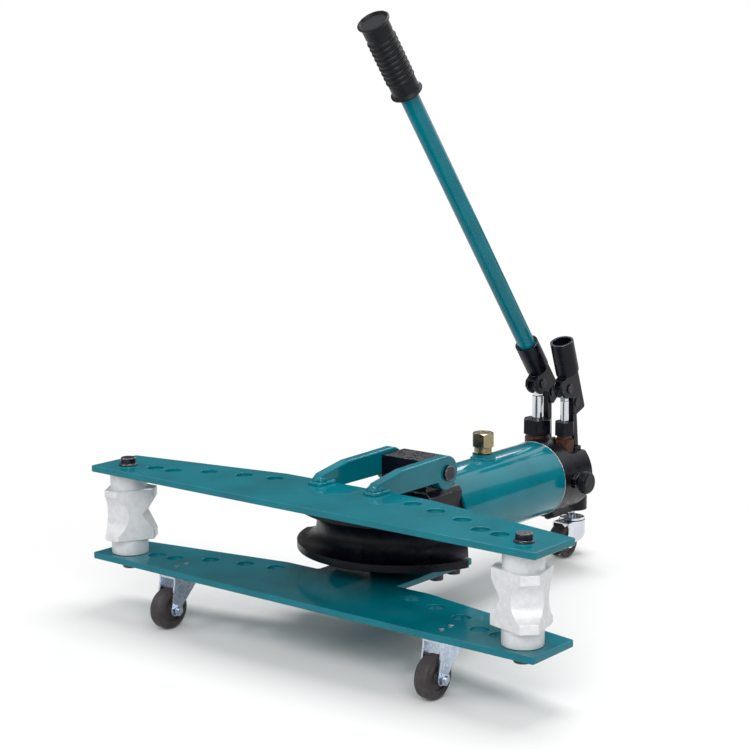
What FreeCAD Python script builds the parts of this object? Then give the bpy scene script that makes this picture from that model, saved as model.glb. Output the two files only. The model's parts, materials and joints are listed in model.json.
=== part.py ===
import FreeCAD, Part
import math
import os
import re

import Sketcher
from FreeCAD import Placement, Rotation, Vector

# Hydraulic pipe bender of the open-wing kind, in millimetres.
# X runs along the wings, Y runs back along the ram towards the pump, Z is up from the floor.
# Distances back are counted from the line of the two rollers, and distances across from the ram.

doc = FreeCAD.newDocument("PipeBender")
sheet = doc.addObject("Spreadsheet::Sheet", "Sizes")

# Each size that can be set by itself, with what it is.
SIZES = [
    ("origin_back", 270.25, "the frame's origin lies this far behind the roller line"),
    # wing plates
    ("plate_thick", 8, "both wing plates"),
    ("wing_floor", 66, "underside of the lower wing above the floor"),
    ("wing_gap", 105, "clear height between the wings"),
    ("wing_half", 335, "from the ram line to a wing's end"),
    ("wing_front", 32, "front edge ahead of the roller line"),
    ("wing_end_back", 47, "rear corner of a wing's end"),
    ("wing_knee", 110, "where the slanted rear edge meets the straight one"),
    ("wing_back", 88, "straight rear edge"),
    ("wing_corner", 3, "radius of the plates' corners"),
    ("wing_edge", 1.2, "soft edge round the plates' faces"),
    ("tongue_half", 60.5, "half width of the tongue behind the lower wing"),
    ("tongue_back", 245, "rear end of the tongue"),
    ("hole_diameter", 21, "pin holes in the wings"),
    ("roller_across", 300, "roller pins, each side of the ram line"),
    ("spare_one_across", 262.1, "spare pin holes, from the outermost inwards"),
    ("spare_one_back", 10, "first spare hole"),
    ("spare_two_across", 233.8, "second spare hole"),
    ("spare_two_back", 13.7, "second spare hole"),
    ("spare_three_across", 193.5, "third spare hole"),
    ("spare_three_back", 35.8, "third spare hole"),
    ("spare_four_across", 147.1, "fourth spare hole"),
    ("spare_four_back", 49.6, "fourth spare hole"),
    ("spare_five_across", 105.6, "fifth spare hole"),
    ("spare_five_back", 59.9, "fifth spare hole"),
    # fits
    ("run_play", 0.05, "radial play of a pin or shaft that turns or slides"),
    ("set_play", 0.03, "radial play of a pin that stays put"),
    ("gap_play", 0.3, "space between faces that move past each other"),
    # rollers and their pins
    ("neck_diameter", 46.6, "round necks above and below the block"),
    ("block_tall", 65, "three-sided block between the necks"),
    ("block_corner", 35.5, "radius on which the block's corners lie"),
    ("facet_width", 20.8, "narrow face that carries a groove"),
    ("block_soft", 1.4, "cast edges of the block"),
    ("wide_groove", 30.3, "radius of the groove for the widest pipe"),
    ("mid_groove", 24.2, "radius of the groove for the middle pipe"),
    ("groove_deep", 13, "depth of the round grooves"),
    ("vee_open", 42, "mouth of the vee groove"),
    ("vee_deep", 13.3, "depth of the vee groove"),
    ("left_turn", 3.3, "how far the left roller is turned"),
    ("right_turn", 165.1, "how far the right roller is turned"),
    ("pin_diameter", 20, "roller pins"),
    ("pin_head", 19.2, "turned head that is gripped to lift the pin"),
    ("pin_head_tall", 10, "head above the wing"),
    ("pin_collar", 23.6, "collar that stops the pin on the wing"),
    ("pin_collar_tall", 2.4, "thickness of that collar"),
    ("pin_below", 12, "end of the pin below the lower wing"),
    # bending die
    ("pipe_diameter", 42.6, "pipe that the die's groove takes"),
    ("bend_radius", 128.3, "from the die's centre to the middle of its groove"),
    ("die_lip", 3.2, "straight lip outside the middle of the groove"),
    ("die_wall", 9.6, "flange above and below the groove"),
    ("die_centre_back", 179, "centre of the die's arc"),
    ("die_back", 169.7, "flat back of the die"),
    ("die_lip_back", 143.8, "where the slanted ends leave the lip"),
    ("web_thick", 18, "web between the die's pockets"),
    ("pocket_radius", 93, "outer edge of the die's pockets"),
    ("pocket_half", 34, "inner edge of the pockets from the middle"),
    ("pocket_back", 158, "rear edge of the pockets"),
    ("hub_diameter", 58, "boss round the ram's nose"),
    # ram, cylinder and their seals
    ("ram_diameter", 50, "ram rod"),
    ("ram_front", 176, "front shoulder of the ram"),
    ("nose_diameter", 36, "nose that plugs into the die"),
    ("nose_long", 22, "length of the nose"),
    ("spring_diameter", 28, "return spring inside the hollow ram"),
    ("spring_wire", 4, "thickness of the wound spring"),
    ("spring_room", 1.2, "room round the spring inside the ram"),
    ("ram_bore_front", 200, "front end of the ram's hollow"),
    ("piston_long", 26, "piston at the ram's rear"),
    ("piston_gap", 5, "oil space behind the piston at rest"),
    ("barrel_bore", 64, "pressure cylinder's bore"),
    ("barrel_wall", 6, "pressure cylinder's wall"),
    ("seal_wide", 5, "width of the ram's seals"),
    ("seal_deep", 3, "depth of the ram's seals"),
    ("bush_wall", 4, "guide bush round the ram"),
    ("bush_long", 18, "length of the guide bush"),
    ("bush_inset", 4, "bush behind the rod seal"),
    # head block and hinge
    ("collar_half", 43.5, "half width of the block round the ram"),
    ("collar_front", 178, "front face of the block"),
    ("seal_back", 220, "rear end of the ram's seal"),
    ("flange_back", 245, "rear face of the block, where the cylinder starts"),
    ("flange_half", 52, "half width of the block's foot on the tongue"),
    ("flange_high", 45, "height of that foot"),
    ("block_high", 91.5, "shoulder of the block above the tongue"),
    ("knuckle_half", 35.2, "half width of the block's upper part"),
    ("knuckle_front", 181.5, "front face of the upper part"),
    ("knuckle_back", 228, "rear face of the upper part"),
    ("knuckle_above", 16.4, "top of the upper part above the hinge pin"),
    ("block_chamfer", 5, "chamfer along the block's shoulders"),
    ("hinge_back", 206, "hinge pin"),
    ("hinge_up", 2, "hinge pin's centre above the upper wing"),
    ("hinge_diameter", 20, "hinge pin"),
    ("hinge_half", 54, "half length of the hinge pin"),
    ("hinge_chamfer", 1, "chamfered ends of the hinge pin"),
    ("arm_thick", 14, "hinge arms"),
    ("eye_radius", 21.3, "round eye of a hinge arm"),
    ("arm_front", 62, "front tip of a hinge arm"),
    ("arm_tip", 6, "height of the tip"),
    ("arm_toe_back", 70, "where the tip's slope ends"),
    ("arm_toe", 12.5, "height at the end of the tip's slope"),
    ("arm_bend_back", 117, "where the arm reaches its full height"),
    ("arm_high", 21, "full height above the wing"),
    ("arm_drop", 6.7, "arm's lower edge below the wing's top"),
    ("arm_soft", 2, "soft edges of a hinge arm"),
    ("tongue_screw", 12, "screws of the head block"),
    ("tongue_head", 18, "their heads"),
    ("tongue_screw_across", 40, "screws each side of the ram line"),
    ("tongue_screw_first", 196, "front pair"),
    ("tongue_screw_second", 232, "rear pair"),
    ("tongue_screw_deep", 22, "depth of a screw in the block"),
    # reservoir tube and filler
    ("tube_diameter", 102, "outer cylinder"),
    ("tube_wall", 3.5, "wall of the outer cylinder"),
    ("spigot_long", 10, "plug of the head block inside the outer cylinder"),
    ("filler_back", 352, "filler neck"),
    ("boss_diameter", 28, "welded filler boss"),
    ("boss_proud", 5, "boss above the outer cylinder"),
    ("filler_bore", 14, "hole through the boss"),
    ("cap_neck", 22.5, "round neck of the filler cap"),
    ("cap_lift", 9.5, "underside of the cap's hexagon above the boss"),
    ("cap_flats", 27, "hexagon of the cap across its flats"),
    ("cap_tall", 18.8, "height of the cap's hexagon"),
    ("cap_chamfer", 2.2, "turned edges of the cap"),
    ("filler_seal_thick", 1.6, "sealing ring under the cap"),
    # pump body
    ("pump_front", 475, "front face of the pump body"),
    ("pump_back", 547, "rear face of the pump body"),
    ("pump_diameter", 103, "pump body"),
    ("pump_round", 5, "rounded rear edge"),
    ("pad_half", 16, "flat pad under the pump body"),
    ("pad_front", 498, "front end of that pad"),
    ("pad_low", 52.5, "pad below the ram line"),
    ("plunger_across", 22, "plungers each side of the ram line"),
    ("plunger_back", 515.5, "plungers"),
    ("seat_low", 33.5, "spot faces of the fittings above the ram line"),
    ("fitting_deep", 18, "shank of a fitting in the pump body"),
    ("big_fitting", 38, "left fitting"),
    ("small_fitting", 25, "right fitting"),
    ("small_fitting_flats", 25, "hexagon of the right fitting"),
    ("fitting_room", 3, "spot face round a fitting"),
    ("shelf_back", 521, "front edge of the milled top behind the fittings"),
    ("shelf_low", 39, "that top above the ram line"),
    ("shelf_across", 30, "from here outwards the top falls to the fittings' spot faces"),
    ("big_nut_flats", 37, "left gland nut"),
    ("big_nut_round", 41.5, "turned corners of the left gland nut"),
    ("small_nut_flats", 25, "right gland nut"),
    ("small_nut_round", 28.6, "turned corners of the right gland nut"),
    ("big_nut_low", 54, "underside of the left nut above the ram line"),
    ("small_nut_low", 57, "underside of the right nut above the ram line"),
    ("big_nut_tall", 22, "left nut"),
    ("small_nut_tall", 20, "right nut"),
    ("big_plunger", 16, "left plunger"),
    ("small_plunger", 11.5, "right plunger"),
    ("plunger_deep", 25, "end of a plunger above the ram line"),
    ("packing_wall", 3, "packing ring round a plunger"),
    ("packing_tall", 8, "height of the packing"),
    # levers and links
    ("left_lean", 38.4, "left lever leans forward by this angle"),
    ("right_lean", 20.2, "right lever leans forward by this angle"),
    ("link_foot_back", 542, "pivot of a link in the pump body"),
    ("link_foot_up", 32.5, "that pivot above the ram line"),
    ("left_link", 78, "length of the left link"),
    ("right_link", 69.2, "length of the right link"),
    ("link_wide", 9, "width of a link"),
    ("link_thick", 8, "thickness of a link"),
    ("link_eye", 6.3, "radius of a link's eyes"),
    ("pivot_diameter", 7, "fulcrum and foot pins"),
    ("fork_forward", 10, "plunger pin ahead of the fulcrum along the lever"),
    ("fork_up", 26.5, "plunger pin above the fulcrum along the lever"),
    ("eye_pin", 6, "plunger pins"),
    ("eye_pin_head", 13.5, "head and washer of a plunger pin"),
    ("eye_slack", 2.2, "clearance of the lever's hole round a plunger pin"),
    ("eye_thick", 8, "flat end of a plunger"),
    ("eye_wide", 11, "width of that flat end"),
    ("eye_neck", 17.5, "length of that flat end below the pin"),
    ("fork_wall", 3.7, "side plates of a lever"),
    ("fork_front", 27.5, "front edge of a side plate ahead of the fulcrum"),
    ("fork_back", 16.5, "rear edge of a side plate behind the fulcrum"),
    ("fork_low", 15.5, "side plate below the fulcrum"),
    ("fork_step", 14.5, "front edge below the nose that holds the plunger pin"),
    ("nose_low", 16, "lower edge of that nose above the fulcrum"),
    ("nose_high", 43.5, "upper edge of that nose"),
    ("fork_soft", 3.5, "rounded corners of a side plate"),
    ("socket_diameter", 32.4, "lever socket"),
    ("socket_bore", 25.6, "its bore"),
    ("socket_behind", 2.8, "socket's axis behind the fulcrum"),
    ("socket_low", 43, "front of the socket's lower end above the fulcrum"),
    ("socket_slant", 7, "rise of that end towards the rear"),
    ("socket_floor", 8, "floor of the socket above its lower end"),
    ("socket_top", 92.5, "rim of the socket above the fulcrum"),
    # handle
    ("handle_diameter", 24, "handle tube"),
    ("handle_wall", 2.5, "its wall"),
    ("handle_top", 630.5, "end of the tube above the fulcrum, along the lever"),
    ("grip_long", 108, "handle grip"),
    ("grip_over", 5, "grip past the end of the tube"),
    ("grip_dish", 2.5, "hollow in the grip's closed end"),
    ("grip_diameter", 34, "grip between its ribs"),
    ("waist_diameter", 35, "smooth lengths beside the lips"),
    ("waist_long", 13, "one smooth length"),
    ("rib_diameter", 37.4, "ribs"),
    ("lip_diameter", 41, "flared lips at both ends"),
    ("lip_long", 6, "one lip with its flare"),
    ("rib_pitch", 7.2, "from rib to rib"),
    ("rib_long", 5.4, "one rib"),
    # release valve
    ("valve_back", 498, "release valve"),
    ("valve_flats", 16, "its hexagon"),
    ("valve_hex_start", 48, "inner end of the hexagon from the ram line"),
    ("valve_hex_end", 58, "outer end of the hexagon"),
    ("valve_shank", 12, "shank in the pump body"),
    ("valve_inner", 26, "inner end of the shank"),
    ("knob_diameter", 30, "knob"),
    ("knob_start", 63, "inner face of the knob"),
    ("knob_end", 76, "outer face of the knob"),
    ("knob_chamfer", 2.5, "edges of the knob"),
    ("spindle_diameter", 8, "spindle between the hexagon and the knob"),
    # safety valve plug on the other side
    ("plug_flats", 14, "hexagon of the plug"),
    ("plug_proud", 5, "hexagon outside the pump body"),
    # front casters
    ("caster_across", 203, "front casters each side of the ram line"),
    ("caster_ahead", 30, "axle ahead of the roller line"),
    ("wheel_diameter", 50, "front wheels"),
    ("wheel_wide", 18, "tread"),
    ("wheel_round", 4, "rounded shoulder of the tread"),
    ("hub_recess", 2.2, "recess in a wheel's side"),
    ("hub_round", 30, "outer diameter of that recess"),
    ("hub_boss", 13, "hub round the axle"),
    ("axle_diameter", 8, "front axle bolts"),
    ("bracket_wide", 27, "outer width of a bracket"),
    ("bracket_wall", 2.5, "sheet of a bracket"),
    ("bracket_front", 31.5, "front edge of a bracket's top ahead of the roller line"),
    ("bracket_back", 8, "rear edge of the top behind the roller line"),
    ("bracket_round", 8, "rounded lower end round the axle"),
    ("bolt_flats", 13, "heads and nuts of the axles"),
    ("bolt_head", 5, "their thickness"),
    ("caster_screw", 6, "screws that hold a bracket"),
    ("caster_screw_flats", 10, "their heads"),
    ("caster_screw_head", 4, "their heads' thickness"),
    ("caster_screw_first", 14, "front screw ahead of the roller line"),
    ("caster_screw_second", 3, "rear screw behind the roller line"),
    ("screw_tip", 1, "screw tip above the wing"),
    # rear caster
    ("foot_thick", 8, "foot under the pump body"),
    ("foot_half", 12, "half width of the foot"),
    ("foot_front", 505, "front end of the foot"),
    ("stem_back", 575, "caster stem"),
    ("foot_boss", 41, "boss round the stem"),
    ("foot_boss_tall", 18, "height of that boss"),
    ("foot_screw", 6, "screws of the foot"),
    ("foot_screw_first", 512, "front screw"),
    ("foot_screw_second", 536, "rear screw"),
    ("stem_diameter", 7.6, "caster stem"),
    ("stem_deep", 13, "stem inside the foot"),
    ("stem_rivet", 11, "riveted lower end of the stem"),
    ("stem_collar", 10.5, "collar of the stem on the race"),
    ("ring_diameter", 35.5, "upper race of the swivel"),
    ("ring_low", 50.3, "underside of the race above the floor"),
    ("ring_tall", 3.7, "height of the race's rim"),
    ("hood_round", 18.6, "radius of the chrome hood about the stem"),
    ("hood_wide", 27.2, "hood over the wheels"),
    ("hood_wall", 1.8, "its sheet"),
    ("hood_front", 5.5, "front edge of the hood ahead of the rear axle"),
    ("hood_end", 9, "rounded lower end of the hood's sides"),
    ("twin_diameter", 46, "rear wheels"),
    ("twin_wide", 10.8, "one rear wheel"),
    ("twin_inner", 0.3, "inner face of a rear wheel from the middle"),
    ("twin_slope", 8, "how much smaller a rear wheel is at its inner face"),
    ("trail", 24, "rear axle ahead of the stem"),
    ("twin_axle", 6, "rear axle"),
]

for row, (name, value, note) in enumerate(SIZES, start=1):
    sheet.set("A%d" % row, name)
    sheet.set("B%d" % row, str(value))
    sheet.setAlias("B%d" % row, name)
    sheet.set("C%d" % row, note)
doc.recompute()

ALIAS = re.compile(r"\b(" + "|".join(name for name, value, note in SIZES) + r")\b")

# Heights that several pieces share, from the floor.
LOWER_TOP = "(wing_floor + plate_thick)"
UPPER_LOW = "(wing_floor + plate_thick + wing_gap)"
UPPER_TOP = "(wing_floor + 2 * plate_thick + wing_gap)"
RAM_UP = "(wing_floor + plate_thick + wing_gap / 2)"
HINGE_HIGH = "(%s + hinge_up)" % UPPER_TOP
FOOT_LOW = "(%s - pad_low - foot_thick)" % RAM_UP
DIE_HALF = "(pipe_diameter / 2 + die_wall)"
BOSS_HIGH = "(tube_diameter / 2 + boss_proud)"
FACET_OUT = "sqrt(block_corner ^ 2 - facet_width ^ 2 / 4)"

# How far each hexagon is turned, in degrees.
CAP_TURN = 8
FITTING_TURN = 12
BOLT_TURN = 20
NUT_TURN = 10
SCREW_TURN = 15


def linked(text):
    """The expression with each size read from the sheet."""
    return ALIAS.sub(r"Sizes.\1", text)


def number(text):
    """The value that an expression has now."""
    return float(sheet.evalExpression(linked(text)))


def bind(item, prop, text):
    item.setExpression(prop, linked(text))


def new_body(label):
    body = doc.addObject("PartDesign::Body", label)
    body.Label = label
    return body


def sketch_on(body, plane, offset=None, turn=0):
    """A sketch on one of the body's own planes, lifted by offset and turned about its upright axis."""
    sketch = body.newObject("Sketcher::SketchObject", body.Name + "_sketch")
    support = [item for item in body.Origin.OriginFeatures if item.Role == plane + "_Plane"]
    sketch.AttachmentSupport = [(support[0], "")]
    sketch.MapMode = "FlatFace"
    if turn:
        sketch.AttachmentOffset = Placement(Vector(0, 0, 0), Rotation(Vector(0, 1, 0), turn))
    if offset:
        bind(sketch, "AttachmentOffset.Base.z", offset)
    return sketch


def fix_point(sketch, piece, point, across, up):
    """Hold a sketch point at two distances from the sketch's origin."""
    for kind, text in (("DistanceX", across), ("DistanceY", up)):
        rule = Sketcher.Constraint(kind, -1, 1, piece, point, number(text))
        index = sketch.addConstraint(rule)
        bind(sketch, "Constraints[%d]" % index, text)


def polygon(sketch, corners):
    """A closed outline of straight lines through the corners."""
    points = [Vector(number(across), number(up), 0) for across, up in corners]
    first = sketch.GeometryCount
    total = len(points)
    for start, end in zip(points, points[1:] + points[:1]):
        sketch.addGeometry(Part.LineSegment(start, end), False)
    for step in range(total):
        before = first + (step - 1) % total
        sketch.addConstraint(Sketcher.Constraint("Coincident", before, 2, first + step, 1))
    for step, (across, up) in enumerate(corners):
        fix_point(sketch, first + step, 1, across, up)
    return sketch


def rectangle(sketch, left, low, right, high):
    return polygon(sketch, [(left, low), (right, low), (right, high), (left, high)])


def circle(sketch, across, up, radius):
    ring = Part.Circle(Vector(number(across), number(up), 0), Vector(0, 0, 1), number(radius))
    index = sketch.addGeometry(ring, False)
    rule = sketch.addConstraint(Sketcher.Constraint("Radius", index, number(radius)))
    bind(sketch, "Constraints[%d]" % rule, radius)
    fix_point(sketch, index, 3, across, up)
    return sketch


def open_round(sketch, centre, radius, outer):
    """A half circle that opens outwards between two straight lips, as the section of a pipe groove."""
    middle, reach, out = number(centre), number(radius), number(outer)
    half = Part.ArcOfCircle(Part.Circle(Vector(middle, 0, 0), Vector(0, 0, 1), reach), math.pi / 2, 3 * math.pi / 2)
    arc = sketch.addGeometry(half, False)
    corners = [Vector(middle, -reach, 0), Vector(out, -reach, 0), Vector(out, reach, 0), Vector(middle, reach, 0)]
    for start, end in zip(corners, corners[1:]):
        sketch.addGeometry(Part.LineSegment(start, end), False)
    for first, end, second, start in ((0, 2, 1, 1), (1, 2, 2, 1), (2, 2, 3, 1), (3, 2, 0, 1)):
        sketch.addConstraint(Sketcher.Constraint("Coincident", arc + first, end, arc + second, start))
    sketch.addConstraint(Sketcher.Constraint("Horizontal", arc + 1))
    sketch.addConstraint(Sketcher.Constraint("Vertical", arc + 2))
    sketch.addConstraint(Sketcher.Constraint("Horizontal", arc + 3))
    rule = sketch.addConstraint(Sketcher.Constraint("Radius", arc, reach))
    bind(sketch, "Constraints[%d]" % rule, radius)
    fix_point(sketch, arc, 3, centre, "0")
    for piece, text in ((arc, centre), (arc + 1, centre), (arc + 2, outer)):
        rule = sketch.addConstraint(Sketcher.Constraint("DistanceX", -1, 1, piece, 1, number(text)))
        bind(sketch, "Constraints[%d]" % rule, text)
    return sketch


def hexagon(sketch, across, up, flats, turn=0):
    """A hexagon with its first corner along the sketch's X axis, or turned by an angle."""
    corners = []
    for step in range(6):
        angle = 60 * step + turn
        reach = "(%s) / 2 / cos(30)" % flats
        corners.append(("%s + %s * cos(%s)" % (across, reach, angle), "%s + %s * sin(%s)" % (up, reach, angle)))
    return polygon(sketch, corners)


def pad(body, sketch, length, symmetric=False, reverse=False):
    feature = body.newObject("PartDesign::Pad", body.Name + "_pad")
    feature.Profile = sketch
    bind(feature, "Length", length)
    if symmetric:
        feature.SideType = "Symmetric"
    feature.Reversed = reverse
    return feature


def pocket(body, sketch, length=None, symmetric=False, reverse=False):
    """Cut by a length, or right through the body both ways when none is given."""
    feature = body.newObject("PartDesign::Pocket", body.Name + "_pocket")
    feature.Profile = sketch
    if length:
        bind(feature, "Length", length)
        if symmetric:
            feature.SideType = "Symmetric"
        feature.Reversed = reverse
    else:
        feature.Type = "ThroughAll"
        feature.SideType = "Symmetric"
    return feature


def spin(body, sketch, cut=False):
    """Turn a profile about the sketch's upright axis, as material or as a groove."""
    kind = "PartDesign::Groove" if cut else "PartDesign::Revolution"
    feature = body.newObject(kind, body.Name + "_turned")
    feature.Profile = sketch
    feature.ReferenceAxis = (sketch, ["V_Axis"])
    feature.Angle = 360
    return feature


def soften(body, feature, radius, chosen=None, chamfer=False):
    """Round or chamfer the feature's edges that the test chooses, or all of them."""
    doc.recompute()
    edges = feature.Shape.Edges
    names = ["Edge%d" % (step + 1) for step, edge in enumerate(edges) if chosen is None or chosen(edge)]
    kind = "PartDesign::Chamfer" if chamfer else "PartDesign::Fillet"
    dressed = body.newObject(kind, body.Name + "_edges")
    dressed.Base = (feature, names)
    bind(dressed, "Size" if chamfer else "Radius", radius)
    return dressed


def runs_along(axis):
    """A test for straight edges along one axis."""
    def chosen(edge):
        if edge.Curve.TypeId != "Part::GeomLine":
            return False
        return abs(abs(edge.tangentAt(edge.FirstParameter).dot(axis)) - 1) < 1e-6
    return chosen


def place(body, across, back, up, axis=None, turn=None):
    """Put a body at a distance across, back from the roller line and up from the floor."""
    if axis:
        body.Placement = Placement(Vector(0, 0, 0), Rotation(axis, 1))
        bind(body, "Placement.Rotation.Angle", turn)
    bind(body, "Placement.Base.x", across)
    bind(body, "Placement.Base.y", "%s - origin_back" % back)
    bind(body, "Placement.Base.z", up)
    return body


def turned(label, profile):
    """A body of revolution about its own Z axis, from corners of radius and height."""
    body = new_body(label)
    spin(body, polygon(sketch_on(body, "XZ"), profile))
    return body


def ring(label, inner, outer, tall):
    profile = [(inner, "0"), (outer, "0"), (outer, tall), (inner, tall)]
    return turned(label, profile)


def group(label, members):
    """Identical fasteners that share one node."""
    bundle = doc.addObject("Part::Compound", label)
    bundle.Label = label
    bundle.Links = members
    return bundle


X_AXIS = Vector(1, 0, 0)
Y_AXIS = Vector(0, 1, 0)
Z_AXIS = Vector(0, 0, 1)
SPARES = ["one", "two", "three", "four", "five"]


def pin_holes(body):
    """The twelve pin holes of a wing, six a side."""
    sketch = sketch_on(body, "XY")
    for sign in ("-", ""):
        circle(sketch, sign + "roller_across", "0", "hole_diameter / 2")
        for name in SPARES:
            circle(sketch, sign + "spare_%s_across" % name, "spare_%s_back" % name, "hole_diameter / 2")
    pocket(body, sketch)


def outer_edges(edge):
    """Straight edges that lie flat, round a plate's outline."""
    if edge.Curve.TypeId != "Part::GeomLine":
        return False
    return abs(edge.tangentAt(edge.FirstParameter).z) < 1e-6


# Lower wing
# One plate with the tongue behind it that carries the head block.
def lower_wing():
    body = new_body("lower_wing")
    outline = [
        ("-wing_half", "-wing_front"),
        ("wing_half", "-wing_front"),
        ("wing_half", "wing_end_back"),
        ("wing_knee", "wing_back"),
        ("tongue_half", "wing_back"),
        ("tongue_half", "tongue_back"),
        ("-tongue_half", "tongue_back"),
        ("-tongue_half", "wing_back"),
        ("-wing_knee", "wing_back"),
        ("-wing_half", "wing_end_back"),
    ]
    plate = pad(body, polygon(sketch_on(body, "XY"), outline), "plate_thick")
    corners = soften(body, plate, "wing_corner", runs_along(Z_AXIS))
    soften(body, corners, "wing_edge", outer_edges)
    pin_holes(body)
    screws = sketch_on(body, "XY")
    for sign in ("-", ""):
        for back in ("tongue_screw_first", "tongue_screw_second"):
            circle(screws, sign + "tongue_screw_across", back, "tongue_screw / 2 + set_play")
        for back in ("-caster_screw_first", "caster_screw_second"):
            circle(screws, sign + "caster_across", back, "caster_screw / 2 + set_play")
    pocket(body, screws)
    return place(body, "0", "0", "wing_floor")


# Upper wing
# The same plate without the tongue; it lifts off the rollers with the hinge arms.
def upper_wing():
    body = new_body("upper_wing")
    outline = [
        ("-wing_half", "-wing_front"),
        ("wing_half", "-wing_front"),
        ("wing_half", "wing_end_back"),
        ("wing_knee", "wing_back"),
        ("-wing_knee", "wing_back"),
        ("-wing_half", "wing_end_back"),
    ]
    plate = pad(body, polygon(sketch_on(body, "XY"), outline), "plate_thick")
    corners = soften(body, plate, "wing_corner", runs_along(Z_AXIS))
    soften(body, corners, "wing_edge", outer_edges)
    pin_holes(body)
    return place(body, "0", "0", UPPER_LOW)


# Hinge arms
# Flame-cut arms on the upper wing that hook behind it and end in the hinge eyes.
def hinge_arm(label, sign):
    body = new_body(label)
    profile = [
        ("arm_front", "0"),
        ("wing_back", "0"),
        ("wing_back", "-arm_drop"),
        ("hinge_back - eye_radius / 2", "-arm_drop"),
        ("hinge_back", "hinge_up"),
        ("hinge_back", "hinge_up + eye_radius"),
        ("arm_bend_back", "arm_high"),
        ("arm_toe_back", "arm_toe"),
        ("arm_front", "arm_tip"),
    ]
    pad(body, polygon(sketch_on(body, "YZ"), profile), "arm_thick")
    eye = circle(sketch_on(body, "YZ"), "hinge_back", "hinge_up", "eye_radius")
    fused = pad(body, eye, "arm_thick")
    soften(body, fused, "arm_soft", lambda edge: abs(edge.BoundBox.XLength) < 1e-6 and edge.BoundBox.ZMax > 1)
    pocket(body, circle(sketch_on(body, "YZ"), "hinge_back", "hinge_up", "hinge_diameter / 2 + set_play"))
    start = "knuckle_half + gap_play" if sign > 0 else "-(knuckle_half + gap_play + arm_thick)"
    return place(body, start, "0", UPPER_TOP)


# Hinge pin
# A plain chamfered pin through both eyes and the head block.
def hinge_pin():
    radius = "hinge_diameter / 2"
    body = turned("hinge_pin", [
        ("0", "-hinge_half"),
        (radius + " - hinge_chamfer", "-hinge_half"),
        (radius, "-hinge_half + hinge_chamfer"),
        (radius, "hinge_half - hinge_chamfer"),
        (radius + " - hinge_chamfer", "hinge_half"),
        ("0", "hinge_half"),
    ])
    return place(body, "0", "hinge_back", HINGE_HIGH, Y_AXIS, "90")


# Head block
# A machined block on the tongue: a wide foot, the part with the ram's bore and the hinge knuckle on top.
def head_block():
    body = new_body("head_block")
    front = sketch_on(body, "XY")
    rectangle(front, "-collar_half", "collar_front", "collar_half", "flange_back")
    collar = pad(body, front, "block_high")

    def shoulders(edge):
        centre = edge.CenterOfMass
        along = runs_along(Y_AXIS)(edge)
        return along and centre.z > number("block_high") - 1

    soften(body, collar, "block_chamfer", shoulders, chamfer=True)
    flange = sketch_on(body, "XY")
    rectangle(flange, "-flange_half", "collar_front", "flange_half", "flange_back")
    pad(body, flange, "flange_high")
    knuckle = sketch_on(body, "XY")
    rectangle(knuckle, "-knuckle_half", "knuckle_front", "knuckle_half", "knuckle_back")
    pad(body, knuckle, "wing_gap + plate_thick + hinge_up + knuckle_above")
    spigot = circle(sketch_on(body, "XZ", "-flange_back - spigot_long"), "0", "wing_gap / 2",
                    "tube_diameter / 2 - tube_wall - set_play")
    pad(body, spigot, "spigot_long")
    bore = circle(sketch_on(body, "XZ"), "0", "wing_gap / 2", "ram_diameter / 2 + run_play")
    pocket(body, bore)
    bush = circle(sketch_on(body, "XZ", "-flange_back - spigot_long"), "0", "wing_gap / 2",
                  "ram_diameter / 2 + bush_wall + set_play")
    pocket(body, bush, "bush_long + bush_inset", reverse=True)
    seal = circle(sketch_on(body, "XZ", "-seal_back"), "0", "wing_gap / 2", "ram_diameter / 2 + seal_deep")
    pocket(body, seal, "seal_wide", reverse=True)
    pivot = circle(sketch_on(body, "YZ"), "hinge_back", "wing_gap + plate_thick + hinge_up",
                   "hinge_diameter / 2 + run_play")
    pocket(body, pivot)
    screws = sketch_on(body, "XY")
    for sign in ("-", ""):
        for back in ("tongue_screw_first", "tongue_screw_second"):
            circle(screws, sign + "tongue_screw_across", back, "tongue_screw / 2 + set_play")
    pocket(body, screws, "tongue_screw_deep", reverse=True)
    return place(body, "0", "0", LOWER_TOP)


# Head block screws
# Socket cap screws from below, through the tongue into the block.
def tongue_screws():
    members = []
    for across in ("-tongue_screw_across", "tongue_screw_across"):
        for back in ("tongue_screw_first", "tongue_screw_second"):
            screw = turned("tongue_screw_one", [
                ("tongue_screw / 4", "-tongue_screw"),
                ("tongue_head / 2", "-tongue_screw"),
                ("tongue_head / 2", "0"),
                ("tongue_screw / 2", "0"),
                ("tongue_screw / 2", "plate_thick + tongue_screw_deep - 1"),
                ("0", "plate_thick + tongue_screw_deep - 1"),
                ("0", "-tongue_screw / 2"),
                ("tongue_screw / 4", "-tongue_screw / 2"),
            ])
            members.append(place(screw, across, back, "wing_floor"))
    return group("tongue_screws", members)


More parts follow.
